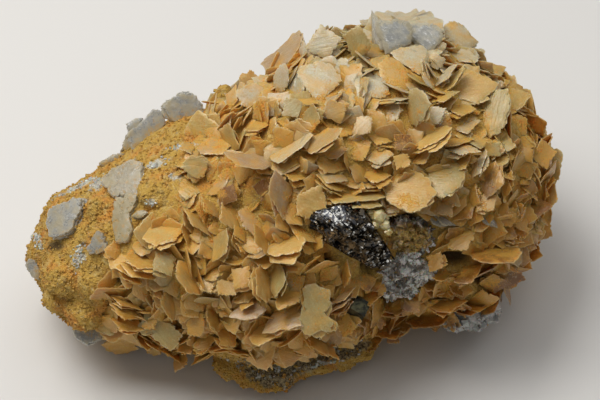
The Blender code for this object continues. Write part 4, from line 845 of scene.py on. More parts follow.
def listed_blades(rock, draw):
    """Every listed blade, by group, and the list that the fill blades keep clear of."""
    extra = random.Random(SEED + 1)
    placed, listed = [], []
    for group, blades in BLADE_GROUPS.items():
        for blade in blades:
            held = blade.long >= LEAST_LISTED
            count = 6 if blade.long > MANY_SIDED else 4
            corners, normal = placed_blade(blade, rock, draw if held else extra, count)
            placed.append((group, blade, corners, normal))
            if held:
                middle = middle_of(corners)
                listed.append((blade, middle, pixel_of(middle)[2]))
    for blade in LEDGES:
        placed.append(("blades_crest", blade, *placed_blade(blade, rock, extra, 6)))
    return placed, listed


def crust_points(tries, start, reach, draw):
    """Random points of the rock, from a station on, that lie at least this far inside the crust's borders."""
    for _ in range(tries):
        place = draw.uniform(start, len(STATIONS) - 1)
        angle = draw.uniform(*FILL_ANGLES)
        point = rock_point(place, angle, bare_form)
        if crust_reach(section(place)[0], angle, point.z) >= reach:
            yield point


def crowded(point, others, spacing):
    return any((point - other).length < spacing for other in others)


def fill_normal(point, out, draw, stands):
    """A fill blade's face's normal and its up direction, which turn slowly with its place on the crust."""
    side = out.cross(SHEAF_ACROSS).normalized()
    heading = SHEAF_TURN * noise.noise(point / SHEAF_SCALE + SHEAF_PHASE) + draw.uniform(-0.5, 0.5)
    tangent = math.cos(heading) * side + math.sin(heading) * out.cross(side)
    stand = math.radians(draw.uniform(*stands))
    normal = math.cos(stand) * out + math.sin(stand) * tangent
    return normal, (math.sin(stand) * out - math.cos(stand) * tangent)


def raised_blades(point, normal, upward, size, heights, draw):
    """A fill blade's middle and corners at each of these heights, in widths, that keeps it off the floor."""
    long, wide = size
    along = normal.cross(upward)
    shape = list(outline(long, wide, draw, 4))
    for height in heights:
        middle = point + upward * height * wide
        corners = [middle + along * across + upward * above for across, above in shape]
        if min(corner.z for corner in corners) >= FLOOR_CLEARANCE + BLADE_THICK / 2:
            yield middle, corners


def hides_listed(corners, listed):
    """Whether a fill blade would stand in front of a listed one."""
    for corner in corners:
        px, py, depth = pixel_of(corner)
        for blade, _, level in listed:
            reach = HIDING_SHARE * blade.long * MM / PIXEL
            if abs(px - blade.px) < reach and abs(py - blade.py) < reach and depth > level:
                return True
    return False


def fill_blades(rock, listed, draw):
    """The solids' blades between and behind the listed ones: corners, normal and whether at the front."""
    kept, made = [], []
    middles = [middle for _, middle, _ in listed]
    for point in crust_points(FILL_TRIES, FILL_START, FILL_REACH, draw):
        out = rock.find_nearest(point)[1]
        front = out.dot(TOWARD) > FRONT_FACING
        if crowded(point, kept, FRONT_SPACING if front else BACK_SPACING):
            continue
        if crowded(point, middles, LISTED_SPACING):
            continue
        normal, upward = fill_normal(point, out, draw, FRONT_STAND if front else BACK_STAND)
        grown = 1 if front else BACK_GROWN
        size = draw.uniform(*FILL_LONG) * MM * grown, draw.uniform(*FILL_WIDE) * MM * grown
        for _, corners in raised_blades(point, normal, upward, size, FILL_RAISED, draw):
            if out.dot(TOWARD) < 0 or not hides_listed(corners, listed):
                kept.append(point)
                made.append((corners, normal, front))
                break
    return made


def covers_listed(point, listed):
    """Whether a point stands in front of a listed blade's face."""
    px, py, depth = pixel_of(point)
    for blade, _, level in listed:
        turn = math.radians(blade.turn)
        right, above = px - blade.px, blade.py - py
        along = (right * math.cos(turn) + above * math.sin(turn)) * PIXEL / (COVER_SHARE * blade.long * MM)
        across = (above * math.cos(turn) - right * math.sin(turn)) * PIXEL / (COVER_SHARE * blade.wide * MM)
        if along ** 2 + across ** 2 < 1 and depth > level - COVER_DEPTH:
            return True
    return False


def inside_any(point, trees, margin):
    """Whether a point lies in one of these solids, or nearer to it than a margin."""
    for tree in trees:
        near, normal, _, distance = tree.find_nearest(point + SHIFT)
        if distance < margin or (point + SHIFT - near).dot(normal) < 0:
            return True
    return False


def small_blades(rock, listed, pockets, draw):
    """Smaller blades in the gaps that are left, set lower than the others."""
    kept = []
    for point in crust_points(SMALL_TRIES, SMALL_START, SMALL_REACH, draw):
        if crowded(point, kept, SMALL_SPACING):
            continue
        out = rock.find_nearest(point)[1]
        normal, upward = fill_normal(point, out, draw, SMALL_STAND)
        size = draw.uniform(*SMALL_LONG) * MM, draw.uniform(*SMALL_WIDE) * MM
        for middle, corners in raised_blades(point, normal, upward, size, SMALL_RAISED, draw):
            tests = [middle] + [middle + (corner - middle) * TESTED_SHARE for corner in corners]
            if out.dot(TOWARD) > 0 and any(in_patches(test, KEPT_CLEAR) for test in tests):
                continue
            if any(inside_any(test, pockets, SMALL_MARGIN) or covers_listed(test, listed) for test in tests):
                continue
            kept.append(point)
            yield corners, normal, out.dot(TOWARD) > FRONT_FACING
            break


class Gathered:
    """The points, triangles and point values of many small shapes that make one mesh."""

    def __init__(self):
        self.points, self.faces = [], []
        self.values = {"tint": [], "own": [], "rim": [], "height": [], "dust": []}
        self.count = 0

    def add(self, points, faces, tint, own, rim, height, dust=0.0):
        self.points.append(points)
        self.faces.append(faces + self.count)
        self.count += len(points)
        tints = np.broadcast_to((*tint, 1), (len(points), 4))
        for name, value in (("tint", tints), ("own", own), ("rim", rim), ("height", height),
                            ("dust", np.broadcast_to(dust, len(points)))):
            self.values[name].append(value)

    def made(self, name, sharp=38):
        """The gathered shapes as one object, smooth except where faces meet at a sharper angle in degrees."""
        points, faces = np.concatenate(self.points), np.concatenate(self.faces)
        mesh = bpy.data.meshes.new(name)
        mesh.vertices.add(len(points))
        mesh.vertices.foreach_set("co", points.ravel())
        mesh.loops.add(faces.size)
        mesh.loops.foreach_set("vertex_index", faces.ravel().astype(np.int32))
        mesh.polygons.add(len(faces))
        mesh.polygons.foreach_set("loop_start", np.arange(0, faces.size, 3, dtype=np.int32))
        mesh.update(calc_edges=True)
        kinds = {"tint": ("FLOAT_COLOR", "color"), "own": ("FLOAT_VECTOR", "vector")}
        for value, parts in self.values.items():
            kind, field = kinds.get(value, ("FLOAT", "value"))
            layer = mesh.attributes.new(value, kind, "POINT")
            layer.data.foreach_set(field, np.concatenate(parts).astype(np.float32).ravel())
        mesh.set_sharp_from_angle(angle=math.radians(sharp))
        mesh.transform(Matrix.Translation(SHIFT))
        made = bpy.data.objects.new(name, mesh)
        bpy.context.scene.collection.objects.link(made)
        return made


def ring_faces(sides, rings):
    """Triangles of a closed shape of rings between two poles, which are its first and its last point."""
    step = np.arange(sides)
    following = (step + 1) % sides
    last = 1 + sides * rings
    faces = [np.stack([np.zeros(sides, int), 1 + step, 1 + following], axis=1)]
    for k in range(rings - 1):
        near, far = 1 + k * sides, 1 + (k + 1) * sides
        faces.append(np.stack([near + step, far + step, far + following], axis=1))
        faces.append(np.stack([near + step, far + following, near + following], axis=1))
    edge = last - sides
    faces.append(np.stack([np.full(sides, last), edge + following, edge + step], axis=1))
    return np.concatenate(faces)


FACES = {detail: ring_faces(detail.sides, 2 * len(detail.rings) + 1) for detail in (LARGE, SECOND, SMALL)}


def rim_points(flat, sides, grain):
    """Points round an outline: nearly straight sides in small steps, ragged, with chips here and there."""
    count = len(flat)
    each = sides // count
    share = np.tile(np.arange(each) / each, count)[:, None]
    start, end = np.repeat(flat, each, axis=0), np.repeat(np.roll(flat, -1, axis=0), each, axis=0)
    bulge = np.repeat(grain.uniform(*SIDE_BULGE, count), each)[:, None]
    along = end - start
    out = np.stack([along[:, 1], -along[:, 0]], axis=1)
    rim = start + along * share + out * bulge * 4 * share * (1 - share)
    rim = 0.8 * rim + 0.1 * (np.roll(rim, 1, axis=0) + np.roll(rim, -1, axis=0))
    first = np.repeat(grain.uniform(0, FIRST_STEP, count), each)
    stretch = np.minimum(share[:, 0] * STEPS + first, STEPS - 0.01).astype(int)
    steps = grain.uniform(*STEP, (count, STEPS))[np.repeat(np.arange(count), each), stretch]
    teeth = grain.uniform(*TEETH_SHARE) * grain.uniform(-TOOTH, TOOTH, sides)
    teeth -= CHIP * (grain.random(sides) < CHIPPED_SHARE)
    return rim * (1 + steps + teeth / np.linalg.norm(rim, axis=1))[:, None]


def add_flake(gathered, flake, rock, grain):
    """Adds one thin crystal: flat faces with a narrow bevel to a ragged rim, bent and rippled a little."""
    middle = middle_of(flake.corners)
    normal = flake.normal.normalized()
    axis = flake.corners[0] - middle
    axis = (axis - normal * axis.dot(normal)).normalized()
    across = normal.cross(axis)
    offsets = [corner - middle for corner in flake.corners]
    flat = np.array([(offset.dot(axis), offset.dot(across)) for offset in offsets])
    following = np.roll(flat, -1, axis=0)
    if np.sum(flat[:, 0] * following[:, 1] - flat[:, 1] * following[:, 0]) < 0:
        flat = flat[::-1]
    sides, rings = flake.detail
    edge = rim_points(flat, sides, grain)
    shares = np.repeat([*rings, 1, *rings[::-1]], sides)
    x, y = (np.concatenate([[0], np.tile(part, 2 * len(rings) + 1) * shares, [0]]) for part in edge.T)
    rim = np.concatenate([[0], shares, [0]])
    side = np.concatenate([[1], np.repeat([1] * len(rings) + [0] + [-1] * len(rings), sides), [-1]])
    size = np.abs(flat).max()
    thickness = flake.thick / 2 * np.sqrt(1 - rim ** BEVEL_POWER)
    cup, twist = grain.uniform(-1, 1, 2) * flake.bend
    turn, phase = grain.uniform(0, 2 * math.pi, 2)
    ripple = RIPPLE * np.sin((x * math.cos(turn) + y * math.sin(turn)) / RIPPLE_SCALE + phase)
    z = side * thickness + cup * (x ** 2 + y ** 2) / size ** 2 + twist * x * y / size ** 2 + ripple
    points = (np.array(middle) + x[:, None] * np.array(axis) + y[:, None] * np.array(across)
              + z[:, None] * np.array(normal))
    near, out = rock.find_nearest(middle)[:2]
    height = (points - np.array(near)) @ np.array(out) / MM
    points[:, 2] = np.maximum(points[:, 2], FLOOR_CLEARANCE / 2)
    own = np.stack([x / MM, y / MM, np.full(len(x), grain.uniform(0, 900))], axis=1)
    dust = flake.dust + THICK_DUST * patched(pixels_of(points), DUST_PATCHES, DUST_SOFT)
    gathered.add(points, FACES[flake.detail], flake.colour, own, rim, height, dust)


def blade_look(px, py, draw):
    """A blade's colour, one of a near zone's mixed a little with another's, and how dusty it is."""
    weights = []
    for zone in ZONES:
        distance = ((px - zone.px) ** 2 + (py - zone.py) ** 2) / zone.reach ** 2
        weights.append(math.exp(-distance) + LEAST_WEIGHT)
    zones = draw.choices(ZONES, weights, k=2)
    first, second = (draw.choice(zone.colours) for zone in zones)
    share, light = draw.uniform(0, 0.5), draw.uniform(0.85, 1.1)
    colour = tuple(light * (a * (1 - share) + b * share) for a, b in zip(first, second))
    return colour, zones[0].dust + draw.uniform(-0.05, 0.05)


def leaves(corners, normal, draw, counts):
    """The thin sheets of one blade: the front one, and those behind it, each smaller and a little aside."""
    middle = middle_of(corners)
    yield [corner + normal * LEAF_FORWARD for corner in corners], normal, FRONT_LEAF
    aside = (corners[0] - middle).normalized()
    size = (corners[0] - middle).length
    for _ in range(draw.choice(counts)):
        turn = Matrix.Rotation(draw.uniform(-0.8, 0.8), 3, normal)
        move = aside * draw.uniform(-1.8, 1.8) * MM + normal.cross(aside) * draw.uniform(-1.5, 1.5) * MM
        tipped = draw.uniform(-LEAF_TIP, LEAF_TIP)
        tip = Matrix.Rotation(tipped / size, 3, aside)
        grown = draw.uniform(0.62, 0.95)
        back = normal * (LEAF_BACK + 0.5 * abs(tipped))
        leaf = [middle + tip @ turn @ (corner - middle) * grown + move - back for corner in corners]
        yield leaf, tip @ normal, BACK_LEAF


def make_blades(rock, nodes):
    """All the calcite blades, as pieces by group."""
    draw, looks = random.Random(SEED), random.Random(SEED + 2)
    grain = np.random.default_rng(SEED)
    pockets = [tree_of(nodes[name]) for name in POCKETED]
    placed, listed = listed_blades(rock, draw)
    gathered = defaultdict(Gathered)
    for group, blade, corners, normal in placed:
        place = (blade.px, blade.py)
        gathering = gathered[CLEAR_GROUP if place in CLEAR_BLADES + GLINTS else group]
        colour, dust = blade_look(*place, looks)
        colour = OWN_COLOURS.get(place, colour)
        raised = RAISED.get(place, RAISED_GROUPS.get(group, 0)) * MM
        corners = [corner + TOWARD * raised for corner in seen_corners(blade, corners, normal)]
        bend = looks.uniform(*LISTED_BEND) * MM
        if place in CLEAR_BLADES:
            middle = middle_of(corners)
            corners = [middle + (corner - middle) * CLEAR_GROWN for corner in corners]
        counts = (0,) if place == CREST_TIP else LISTED_LEAVES
        for k, (leaf, face, thick) in enumerate(leaves(corners, normal, looks, counts)):
            detail = SECOND if k else LARGE
            add_flake(gathering, Flake(leaf, face, thick, colour, detail, bend, dust), rock, grain)
    for corners, normal, front in fill_blades(rock, listed, draw):
        middle = middle_of(corners)
        if inside_any(middle, pockets, FILL_MARGIN):
            continue
        if front and in_patches(middle, KEPT_CLEAR):
            continue
        if front and any(in_patches(corner, OPEN_PATCHES) for corner in corners):
            continue
        gathering = gathered["blades_between" if front else "blades_behind"]
        colour, dust = blade_look(*pixel_of(middle)[:2], looks)
        for leaf, face, thick in leaves(corners, normal, looks, FILL_LEAVES):
            add_flake(gathering, Flake(leaf, face, thick, colour, SECOND, FILL_BEND, dust), rock, grain)
    for corners, normal, front in small_blades(rock, listed, pockets, random.Random(SEED + 3)):
        gathering = gathered["small_blades" if front else "small_blades_behind"]
        colour, dust = blade_look(*pixel_of(middle_of(corners))[:2], looks)
        flake = Flake(corners, normal, SMALL_THICK, colour, SMALL, SMALL_BEND, dust)
        add_flake(gathering, flake, rock, grain)
    return {name: gathering.made(name) for name, gathering in gathered.items()}


def make_crystal(name, tablets, rock):
    """A free crystal: tablets built of thin layers, each a little aside of the others."""
    draw = random.Random(name)
    grain = np.random.default_rng(len(name))
    gathering = Gathered()
    colour = WARM_CRYSTALS.get(name, GLASSY)
    for blade, thick, lying in tablets:
        corners, normal = placed_blade(blade, rock, draw, 6, lying)
        corners = seen_corners(blade, corners, normal)
        middle = middle_of(corners)
        layers = max(2, round(thick / LAYER_THICK))
        deep = LAYER_OVERLAP * thick / layers * MM
        for k in range(layers):
            level = ((k + 0.5) / layers - 0.5) * thick * MM
            aside = (corners[0] - middle) * draw.uniform(-LAYER_ASIDE, LAYER_ASIDE)
            grown = draw.uniform(*LAYER_GROWN)
            leaf = [middle + aside + (corner - middle) * grown + normal * level for corner in corners]
            add_flake(gathering, Flake(leaf, normal, deep, colour, LARGE, CRYSTAL_BEND, 0), rock, grain)
    return gathering.made(name + "_layers")


def rough_ball(mesh_data, middle, sizes, draw, subdivisions=1):
    """Adds a small closed lump with flat sides, turned at random."""
    made = bmesh.ops.create_icosphere(mesh_data, subdivisions=subdivisions, radius=1)["verts"]
    angle = draw.uniform(0, math.pi)
    turn = Matrix.Rotation(angle, 3, Vector((draw.random(), draw.random(), 0.3)).normalized())
    for vertex in made:
        shaped = turn @ vertex.co * draw.uniform(0.9, 1.08)
        vertex.co = middle + Vector((shaped.x * sizes[0], shaped.y * sizes[1], shaped.z * sizes[2])) * MM


def add_lumps(mesh_data, lumps, subdivisions, rock, draw):
    """Adds lumps of rock, each on the sight line of its pixel."""
    for lump in lumps:
        middle = in_view(lump.px, lump.py, rock_depth(lump, rock) - lump.sunk * MM)
        rough_ball(mesh_data, middle, lump.sizes, draw, subdivisions)


def granular(point):
    """How far a granular crust stands out at a point: rounded grains of two sizes."""
    return sum(height * (GRANULE_MIDDLE - noise.voronoi(point / scale)[0][0]) for height, scale in GRANULES)


def finished_rock(piece, points, **values):
    """A rock surface with its points moved, its point values set, and shaded smooth in the solids' frame."""
    piece.data.vertices.foreach_set("co", points.ravel())
    for name, value in values.items():
        point_value(piece.data, name, value)
    piece.data.shade_smooth()
    piece.data.transform(Matrix.Translation(SHIFT))
    return piece


def make_rock(rock):
    """The limonite-coated rock: bare at the left end and the lip, sunk under the crust, granular all over."""
    draw = random.Random(SEED)
    places = [k * (len(STATIONS) - 1) / ROCK_RINGS for k in range(ROCK_RINGS)]
    body = lofted("limonite_rock", places, ROCK_SIDES, under_crust)
    mesh_data = copy_of(body)
    remove(body)
    add_lumps(mesh_data, ROCK_LUMPS, 2, rock, draw)
    add_lumps(mesh_data, LIP_LEDGES, 1, rock, draw)
    piece = new_object("limonite_rock", mesh_data)
    remesh(piece, ROCK_VOXEL)
    points, normals = vectors_of(piece.data.vertices, "co"), vectors_of(piece.data.vertex_normals, "vector")
    rises = np.array([granular(Vector(point)) for point in points])
    points += normals * rises[:, None]
    points[:, 2] = np.maximum(points[:, 2], 0)
    pixels = pixels_of(points)
    seen = np.clip((normals @ np.array(TOWARD) + 0.2) / 0.3, 0, 1)
    return finished_rock(
        piece, points,
        white=patched(pixels, PALE_PATCHES_AND_HIGHLIGHT, WHITE_SOFT) * seen,
        lip=patched(pixels, LIP_PATCHES) * seen,
        dark=patched(pixels, DARK_PATCHES) * seen,
        # Painted shade: the small dark places under the grey tabular crystal.
        hollow=patched(pixels, ROCK_SHADE_PATCHES) * seen * ROCK_SHADE_SHARE,
        rise=rises / MM,
    )


def make_bed(rock):
    """The crust's own surface between the blades, with fine grains and deep hollows, which are also marked
    for painted shade.
    """
    length = len(STATIONS) - 1 - BED_START
    places = [BED_START + k * length / BED_RINGS for k in range(BED_RINGS + 1)]
    piece = lofted("crust_bed", places, BED_SIDES, bed_top)
    points, normals = vectors_of(piece.data.vertices, "co"), vectors_of(piece.data.vertex_normals, "vector")
    rises = np.array([granular(Vector(point)) for point in points])
    # The hollows are dug in, and marked where the rock's material paints them nearly black as shade.
    hollows = patched(pixels_of(points), SHADED_HOLLOWS) * (normals @ np.array(TOWARD) > 0)
    points += normals * (rises * BED_GRAIN_SHARE - hollows * HOLLOW_DEPTH)[:, None]
    points[:, 2] = np.maximum(points[:, 2], FLOOR_CLEARANCE)
    white = patched(pixels_of(points), PALE_PATCHES_AND_HIGHLIGHT, WHITE_SOFT)
    return finished_rock(piece, points, white=white, hollow=hollows, rise=rises / MM)


class Tree:
    """A material's nodes. Each method adds some and gives back their output."""

    def __init__(self, name):
        self.material = bpy.data.materials.new(name)
        self.material.use_nodes = True
        self.nodes = self.material.node_tree.nodes
        self.links = self.material.node_tree.links
        self.shader = self.nodes["Principled BSDF"]
        self.place = self.nodes.new("ShaderNodeTexCoord").outputs["Object"]

    def put(self, socket, value):
        if isinstance(value, bpy.types.NodeSocket):
            self.links.new(value, socket)
        elif isinstance(value, tuple) and len(value) == 3 and socket.type == "RGBA":
            socket.default_value = (*value, 1)
        else:
            socket.default_value = value

    def surface(self, **values):
        """Sets the shader's inputs, each by its name with underscores for spaces."""
        for name, value in values.items():
            self.put(self.shader.inputs[name.replace("_", " ")], value)
        return self.material

    def value(self, name, output="Fac"):
        """A point value of the mesh."""
        made = self.nodes.new("ShaderNodeAttribute")
        made.attribute_name = name
        return made.outputs[output]

    def noise(self, size, detail=4, rough=0.6, where=None):
        """Noise whose features are about this size in metres, or in the units of where."""
        made = self.nodes.new("ShaderNodeTexNoise")
        self.put(made.inputs["Vector"], where or self.place)
        made.inputs["Scale"].default_value = 1 / size
        made.inputs["Detail"].default_value = detail
        made.inputs["Roughness"].default_value = rough
        return made.outputs["Fac"]

    def cells(self, size, output="Distance"):
        """Cells of about this size in metres: how far from their middles, or their colours."""
        made = self.nodes.new("ShaderNodeTexVoronoi")
        self.put(made.inputs["Vector"], self.place)
        made.inputs["Scale"].default_value = 1 / size
        return made.outputs[output]

    def ranged(self, value, low, high, start=0.0, end=1.0):
        """A value brought from low to high smoothly onto start to end."""
        made = self.nodes.new("ShaderNodeMapRange")
        made.interpolation_type = "SMOOTHSTEP"
        names = ("Value", "From Min", "From Max", "To Min", "To Max")
        for name, given in zip(names, (value, low, high, start, end)):
            self.put(made.inputs[name], given)
        return made.outputs["Result"]

    def math(self, operation, first, second):
        made = self.nodes.new("ShaderNodeMath")
        made.operation = operation
        self.put(made.inputs[0], first)
        self.put(made.inputs[1], second)
        return made.outputs["Value"]

    def sum(self, first, *others):
        for other in others:
            first = self.math("ADD", first, other)
        return first

    def centred(self, value, scale=1.0):
        """Noise from 0 to 1 brought round 0, at this scale."""
        return self.math("MULTIPLY", self.math("SUBTRACT", value, 0.5), scale)

    def mixed(self, share, first, second, blend="MIX"):
        made = self.nodes.new("ShaderNodeMix")
        made.data_type = "RGBA"
        made.blend_type = blend
        self.put(made.inputs["Factor"], share)
        self.put(made.inputs[6], first)
        self.put(made.inputs[7], second)
        return made.outputs[2]

    def turned(self, first, second, value, low, high, most=1.0, blend="MIX"):
        """A colour that turns to a second, by this share at most, where a value rises from low to high."""
        return self.mixed(self.ranged(value, low, high, 0, most), first, second, blend)

    def stretched(self, where, scale):
        made = self.nodes.new("ShaderNodeMapping")
        self.put(made.inputs["Vector"], where)
        made.inputs["Scale"].default_value = scale
        return made.outputs["Vector"]

    def bumped(self, height, strength, depth):
        """A bump of this depth in metres on the surface."""
        made = self.nodes.new("ShaderNodeBump")
        made.inputs["Strength"].default_value = strength
        made.inputs["Distance"].default_value = depth
        self.put(made.inputs["Height"], height)
        self.links.new(made.outputs["Normal"], self.shader.inputs["Normal"])


def calcite():
    """Satin translucent blades, clouded and streaked, with thin rims painted paler as light through their
    edges, and patches of ochre dust with painted shade between its crumbs; the ochre gathers near their
    roots, partly as painted shade.
    """
    tree = Tree("calcite")
    own, height, dusty = tree.value("own", "Vector"), tree.value("height"), tree.value("dust")
    streaks = tree.noise(1.4, 3, 0.6, tree.stretched(own, (0.3, 2.4, 1)))
    clouds = tree.noise(3.0, 3, 0.55, own)
    grains = tree.noise(0.42 * MM, 5, 0.75)
    colour = tree.turned(tree.value("tint", "Color"), (0.97, 0.80, 0.52), clouds, 0.36, 0.66, 0.6, "MULTIPLY")
    colour = tree.turned(colour, (0.84, 0.81, 0.74), streaks, 0.35, 0.65, 0.35, "MULTIPLY")
    colour = tree.turned(colour, (0.86, 0.74, 0.50), grains, 0.42, 0.60, 0.6, "MULTIPLY")
    colour = tree.turned(colour, (0.80, 0.70, 0.46), tree.noise(0.8 * MM, 5, 0.8), 0.55, 0.68, 0.4)
    # Ochre tint: random patches and dust, and stronger near the roots, which is partly painted shade.
    ochre_wash_and_root_shade = tree.sum(tree.noise(5 * MM, 4, 0.6), tree.ranged(height, -1.0, 3.5, 0.22, 0.0), dusty)
    colour = tree.turned(colour, (0.66, 0.37, 0.07), ochre_wash_and_root_shade, 0.45, 0.75, 0.75)
    # Painted light: the rims paler, as if lit through their thin edges.
    colour = tree.turned(colour, (0.78, 0.68, 0.46), tree.value("rim"), 0.9, 1.0, 0.22)
    # More dust near the roots: dust that settles there, and partly painted shade.
    root = tree.ranged(height, -0.8, 2.2, 0.24, 0.0)
    dust = tree.sum(tree.noise(3.0 * MM, 4, 0.7), root, dusty, tree.centred(grains, 1.1))
    dust = tree.ranged(dust, 0.58, 0.82)
    crumbs = tree.cells(0.4 * MM)
    dust_colour = tree.turned(OCHRE, ORANGE, tree.noise(1.4 * MM, 4, 0.7), 0.45, 0.62)
    # Painted shade: dark brown between the dust's crumbs.
    dust_colour = tree.turned(dust_colour, CREVICE_SHADE, crumbs, 0.5, 0.9, 0.4)
    colour = tree.mixed(dust, colour, dust_colour)
    relief = tree.math("MULTIPLY", tree.math("SUBTRACT", grains, crumbs), dust)
    faces = tree.sum(tree.math("MULTIPLY", streaks, 0.5), tree.math("MULTIPLY", grains, 0.2))
    tree.bumped(tree.sum(relief, faces), 0.85, 0.4 * MM)
    return tree.surface(
        Base_Color=colour,
        Roughness=tree.ranged(dust, 0, 1, 0.32, 0.85),
        Subsurface_Weight=0.6,
        Subsurface_Radius=(1.0, 0.66, 0.32),
        Subsurface_Scale=1.5 * MM,
        IOR=1.55,
    )


def limonite():
    """Granular ochre rock, orange and yellow by patches, with shade painted dark brown in its crevices and
    low spots and nearly black in its hollows, white patches of which one is a painted highlight, and a grey
    lip.
    """
    tree = Tree("limonite_rock")
    fine = tree.noise(0.6 * MM, 5, 0.8)
    crumbs, tiny = tree.cells(0.8 * MM), tree.cells(0.36 * MM)
    colour = tree.turned((0.58, 0.36, 0.065), (0.66, 0.30, 0.045), tree.noise(6 * MM, 4, 0.65), 0.46, 0.66)
    colour = tree.turned(colour, (0.62, 0.47, 0.17), tree.noise(2.4 * MM, 4, 0.7), 0.50, 0.66, 0.7)
    olive = tree.turned((0.10, 0.09, 0.05), (0.38, 0.35, 0.24), fine, 0.42, 0.58)
    colour = tree.turned(colour, olive, tree.noise(1.5 * MM, 6, 0.85), 0.56, 0.66, 0.75)
    colour = tree.turned(colour, (0.82, 0.70, 0.44), fine, 0.57, 0.7, 0.6)
    # Painted shade: dark brown in the crevices between the grains.
    large_gap_shade, small_gap_shade = tree.ranged(crumbs, 0.55, 0.9, 0, 0.5), tree.ranged(tiny, 0.55, 0.95, 0, 0.45)
    colour = tree.mixed(tree.math("MAXIMUM", large_gap_shade, small_gap_shade), colour, CREVICE_SHADE)
    # Painted shade: dark brown in the low spots between the granules.
    colour = tree.mixed(tree.ranged(tree.value("rise"), -0.35, 0.05, 0.4, 0), colour, CREVICE_SHADE)
    ragged = tree.centred(tree.noise(2.2 * MM, 6, 0.85), 2.8)
    # Pale patches; the thin one along the rock's upper outline is a painted highlight.
    pale = tree.turned((0.46, 0.47, 0.41), (0.70, 0.72, 0.65), fine, 0.4, 0.6)
    colour = tree.turned(colour, pale, tree.sum(tree.value("white"), ragged), 0.55, 0.85, 0.8)
    grit = tree.turned((0.10, 0.07, 0.035), (0.50, 0.40, 0.22), tree.noise(0.8 * MM, 5, 0.8), 0.4, 0.62)
    colour = tree.turned(colour, grit, tree.sum(tree.value("lip"), ragged), 0.3, 0.7)
    dark = tree.ranged(tree.sum(tree.value("dark"), ragged), 0.35, 0.7)
    colour = tree.mixed(dark, colour, (0.06, 0.065, 0.065))
    # Painted shade: the hollows nearly black.
    colour = tree.turned(colour, (0.035, 0.018, 0.006), tree.value("hollow"), 0, 1, 0.92)
    relief = tree.math("SUBTRACT", tree.math("MULTIPLY", fine, 0.7), tree.sum(crumbs, tiny))
    tree.bumped(relief, 0.8, 0.4 * MM)
    return tree.surface(Base_Color=colour, Roughness=tree.ranged(dark, 0, 1, 0.85, 0.2), IOR=1.5)


def clear_calcite():
    """Glassy grey crystal with pale streaks that are partly fractures and partly painted highlights, and
    satin beige along its rims.
    """
    tree = Tree("clear_calcite")
    own = tree.value("own", "Vector")
    clouds = tree.noise(2.2, 5, 0.7, own)
    cracks_and_highlights = tree.noise(1.6, 5, 0.8, tree.stretched(own, (0.6, 1.5, 1)))
    colour = tree.turned((0.41, 0.42, 0.40), (0.60, 0.58, 0.50), clouds, 0.38, 0.62)
    # Pale streaks: fractures, and partly painted highlights.
    colour = tree.turned(colour, (0.93, 0.94, 0.94), cracks_and_highlights, 0.54, 0.64)
    beige = tree.ranged(tree.sum(tree.value("rim"), tree.centred(clouds)), 0.62, 0.92, 0, 0.9)
    colour = tree.mixed(beige, colour, (0.52, 0.46, 0.31))
    tree.bumped(cracks_and_highlights, 0.6, 0.8 * MM)
    return tree.surface(
        Base_Color=colour,
        Roughness=tree.ranged(beige, 0, 0.85, 0.08, 0.34),
        Transmission_Weight=0.22,
        Subsurface_Weight=0.4,
        Subsurface_Radius=(1.0, 1.0, 1.0),
        Subsurface_Scale=1.5 * MM,
        IOR=1.56,
    )


def grey_calcite():
    """Translucent grey crystal with smooth satin faces, paler rims painted as light through their edges, and
    a little ochre in its clouds.
    """
    tree = Tree("grey_calcite")
    own = tree.value("own", "Vector")
    clouds, flecks = tree.noise(3.0, 5, 0.65, own), tree.noise(1.1, 5, 0.75, own)
    colour = tree.turned(tree.value("tint", "Color"), (0.54, 0.46, 0.28), clouds, 0.40, 0.64, 0.8)
    colour = tree.turned(colour, (0.66, 0.65, 0.60), flecks, 0.5, 0.68, 0.5)
    # Painted light: the rims paler, as if lit through their thin edges.
    colour = tree.turned(colour, (0.76, 0.73, 0.62), tree.value("rim"), 0.88, 1.0, 0.45)
    ochre = tree.sum(tree.noise(1.8 * MM, 5, 0.75), tree.ranged(tree.value("height"), 0.4, 3.0, 0.14, 0.0))
    colour = tree.turned(colour, (0.62, 0.37, 0.09), ochre, 0.58, 0.72, 0.75)
    tree.bumped(tree.sum(flecks, tree.math("MULTIPLY", clouds, 1.5)), 0.4, 0.3 * MM)
    return tree.surface(
        Base_Color=colour,
        Roughness=tree.ranged(clouds, 0.35, 0.7, 0.24, 0.42),
        Transmission_Weight=0.3,
        Subsurface_Weight=0.6,
        Subsurface_Radius=(1.0, 0.9, 0.75),
        Subsurface_Scale=2.2 * MM,
        IOR=1.55,
    )


def pyrite():
    """Near-black metal with few pale metal facets painted as glints, a blue-grey sheen painted on its upper
    left, and brown rust in its hollows.
    """
    tree = Tree("pyrite")
    bright = tree.value("bright")
    colour = tree.turned((0.035, 0.038, 0.045), (0.11, 0.085, 0.05), tree.noise(2.2 * MM, 4, 0.7), 0.38, 0.62)
    # Painted sheen: blue-grey on the upper left.
    colour = tree.turned(colour, (0.15, 0.16, 0.19), bright, 0, 1, 0.8)
    # Painted glints: small facets of pale metal on the near-black body.
    painted_glints = tree.sum(tree.cells(0.55 * MM, "Color"), tree.math("MULTIPLY", bright, 0.22))
    colour = tree.turned(colour, (0.86, 0.85, 0.80), painted_glints, 0.74, 0.88)
    rust = tree.sum(tree.noise(1.4 * MM, 5, 0.8), tree.math("MULTIPLY", tree.value("brown"), 0.12))
    rust = tree.ranged(rust, 0.56, 0.64)
    colour = tree.mixed(rust, colour, (0.17, 0.10, 0.035))
    tree.bumped(tree.noise(0.4 * MM, 3, 0.6), 0.35, 0.15 * MM)
    return tree.surface(
        Base_Color=colour,
        Metallic=tree.ranged(rust, 0, 1, 0.9, 0.0),
        Roughness=tree.ranged(rust, 0, 1, 0.18, 0.8),
    )


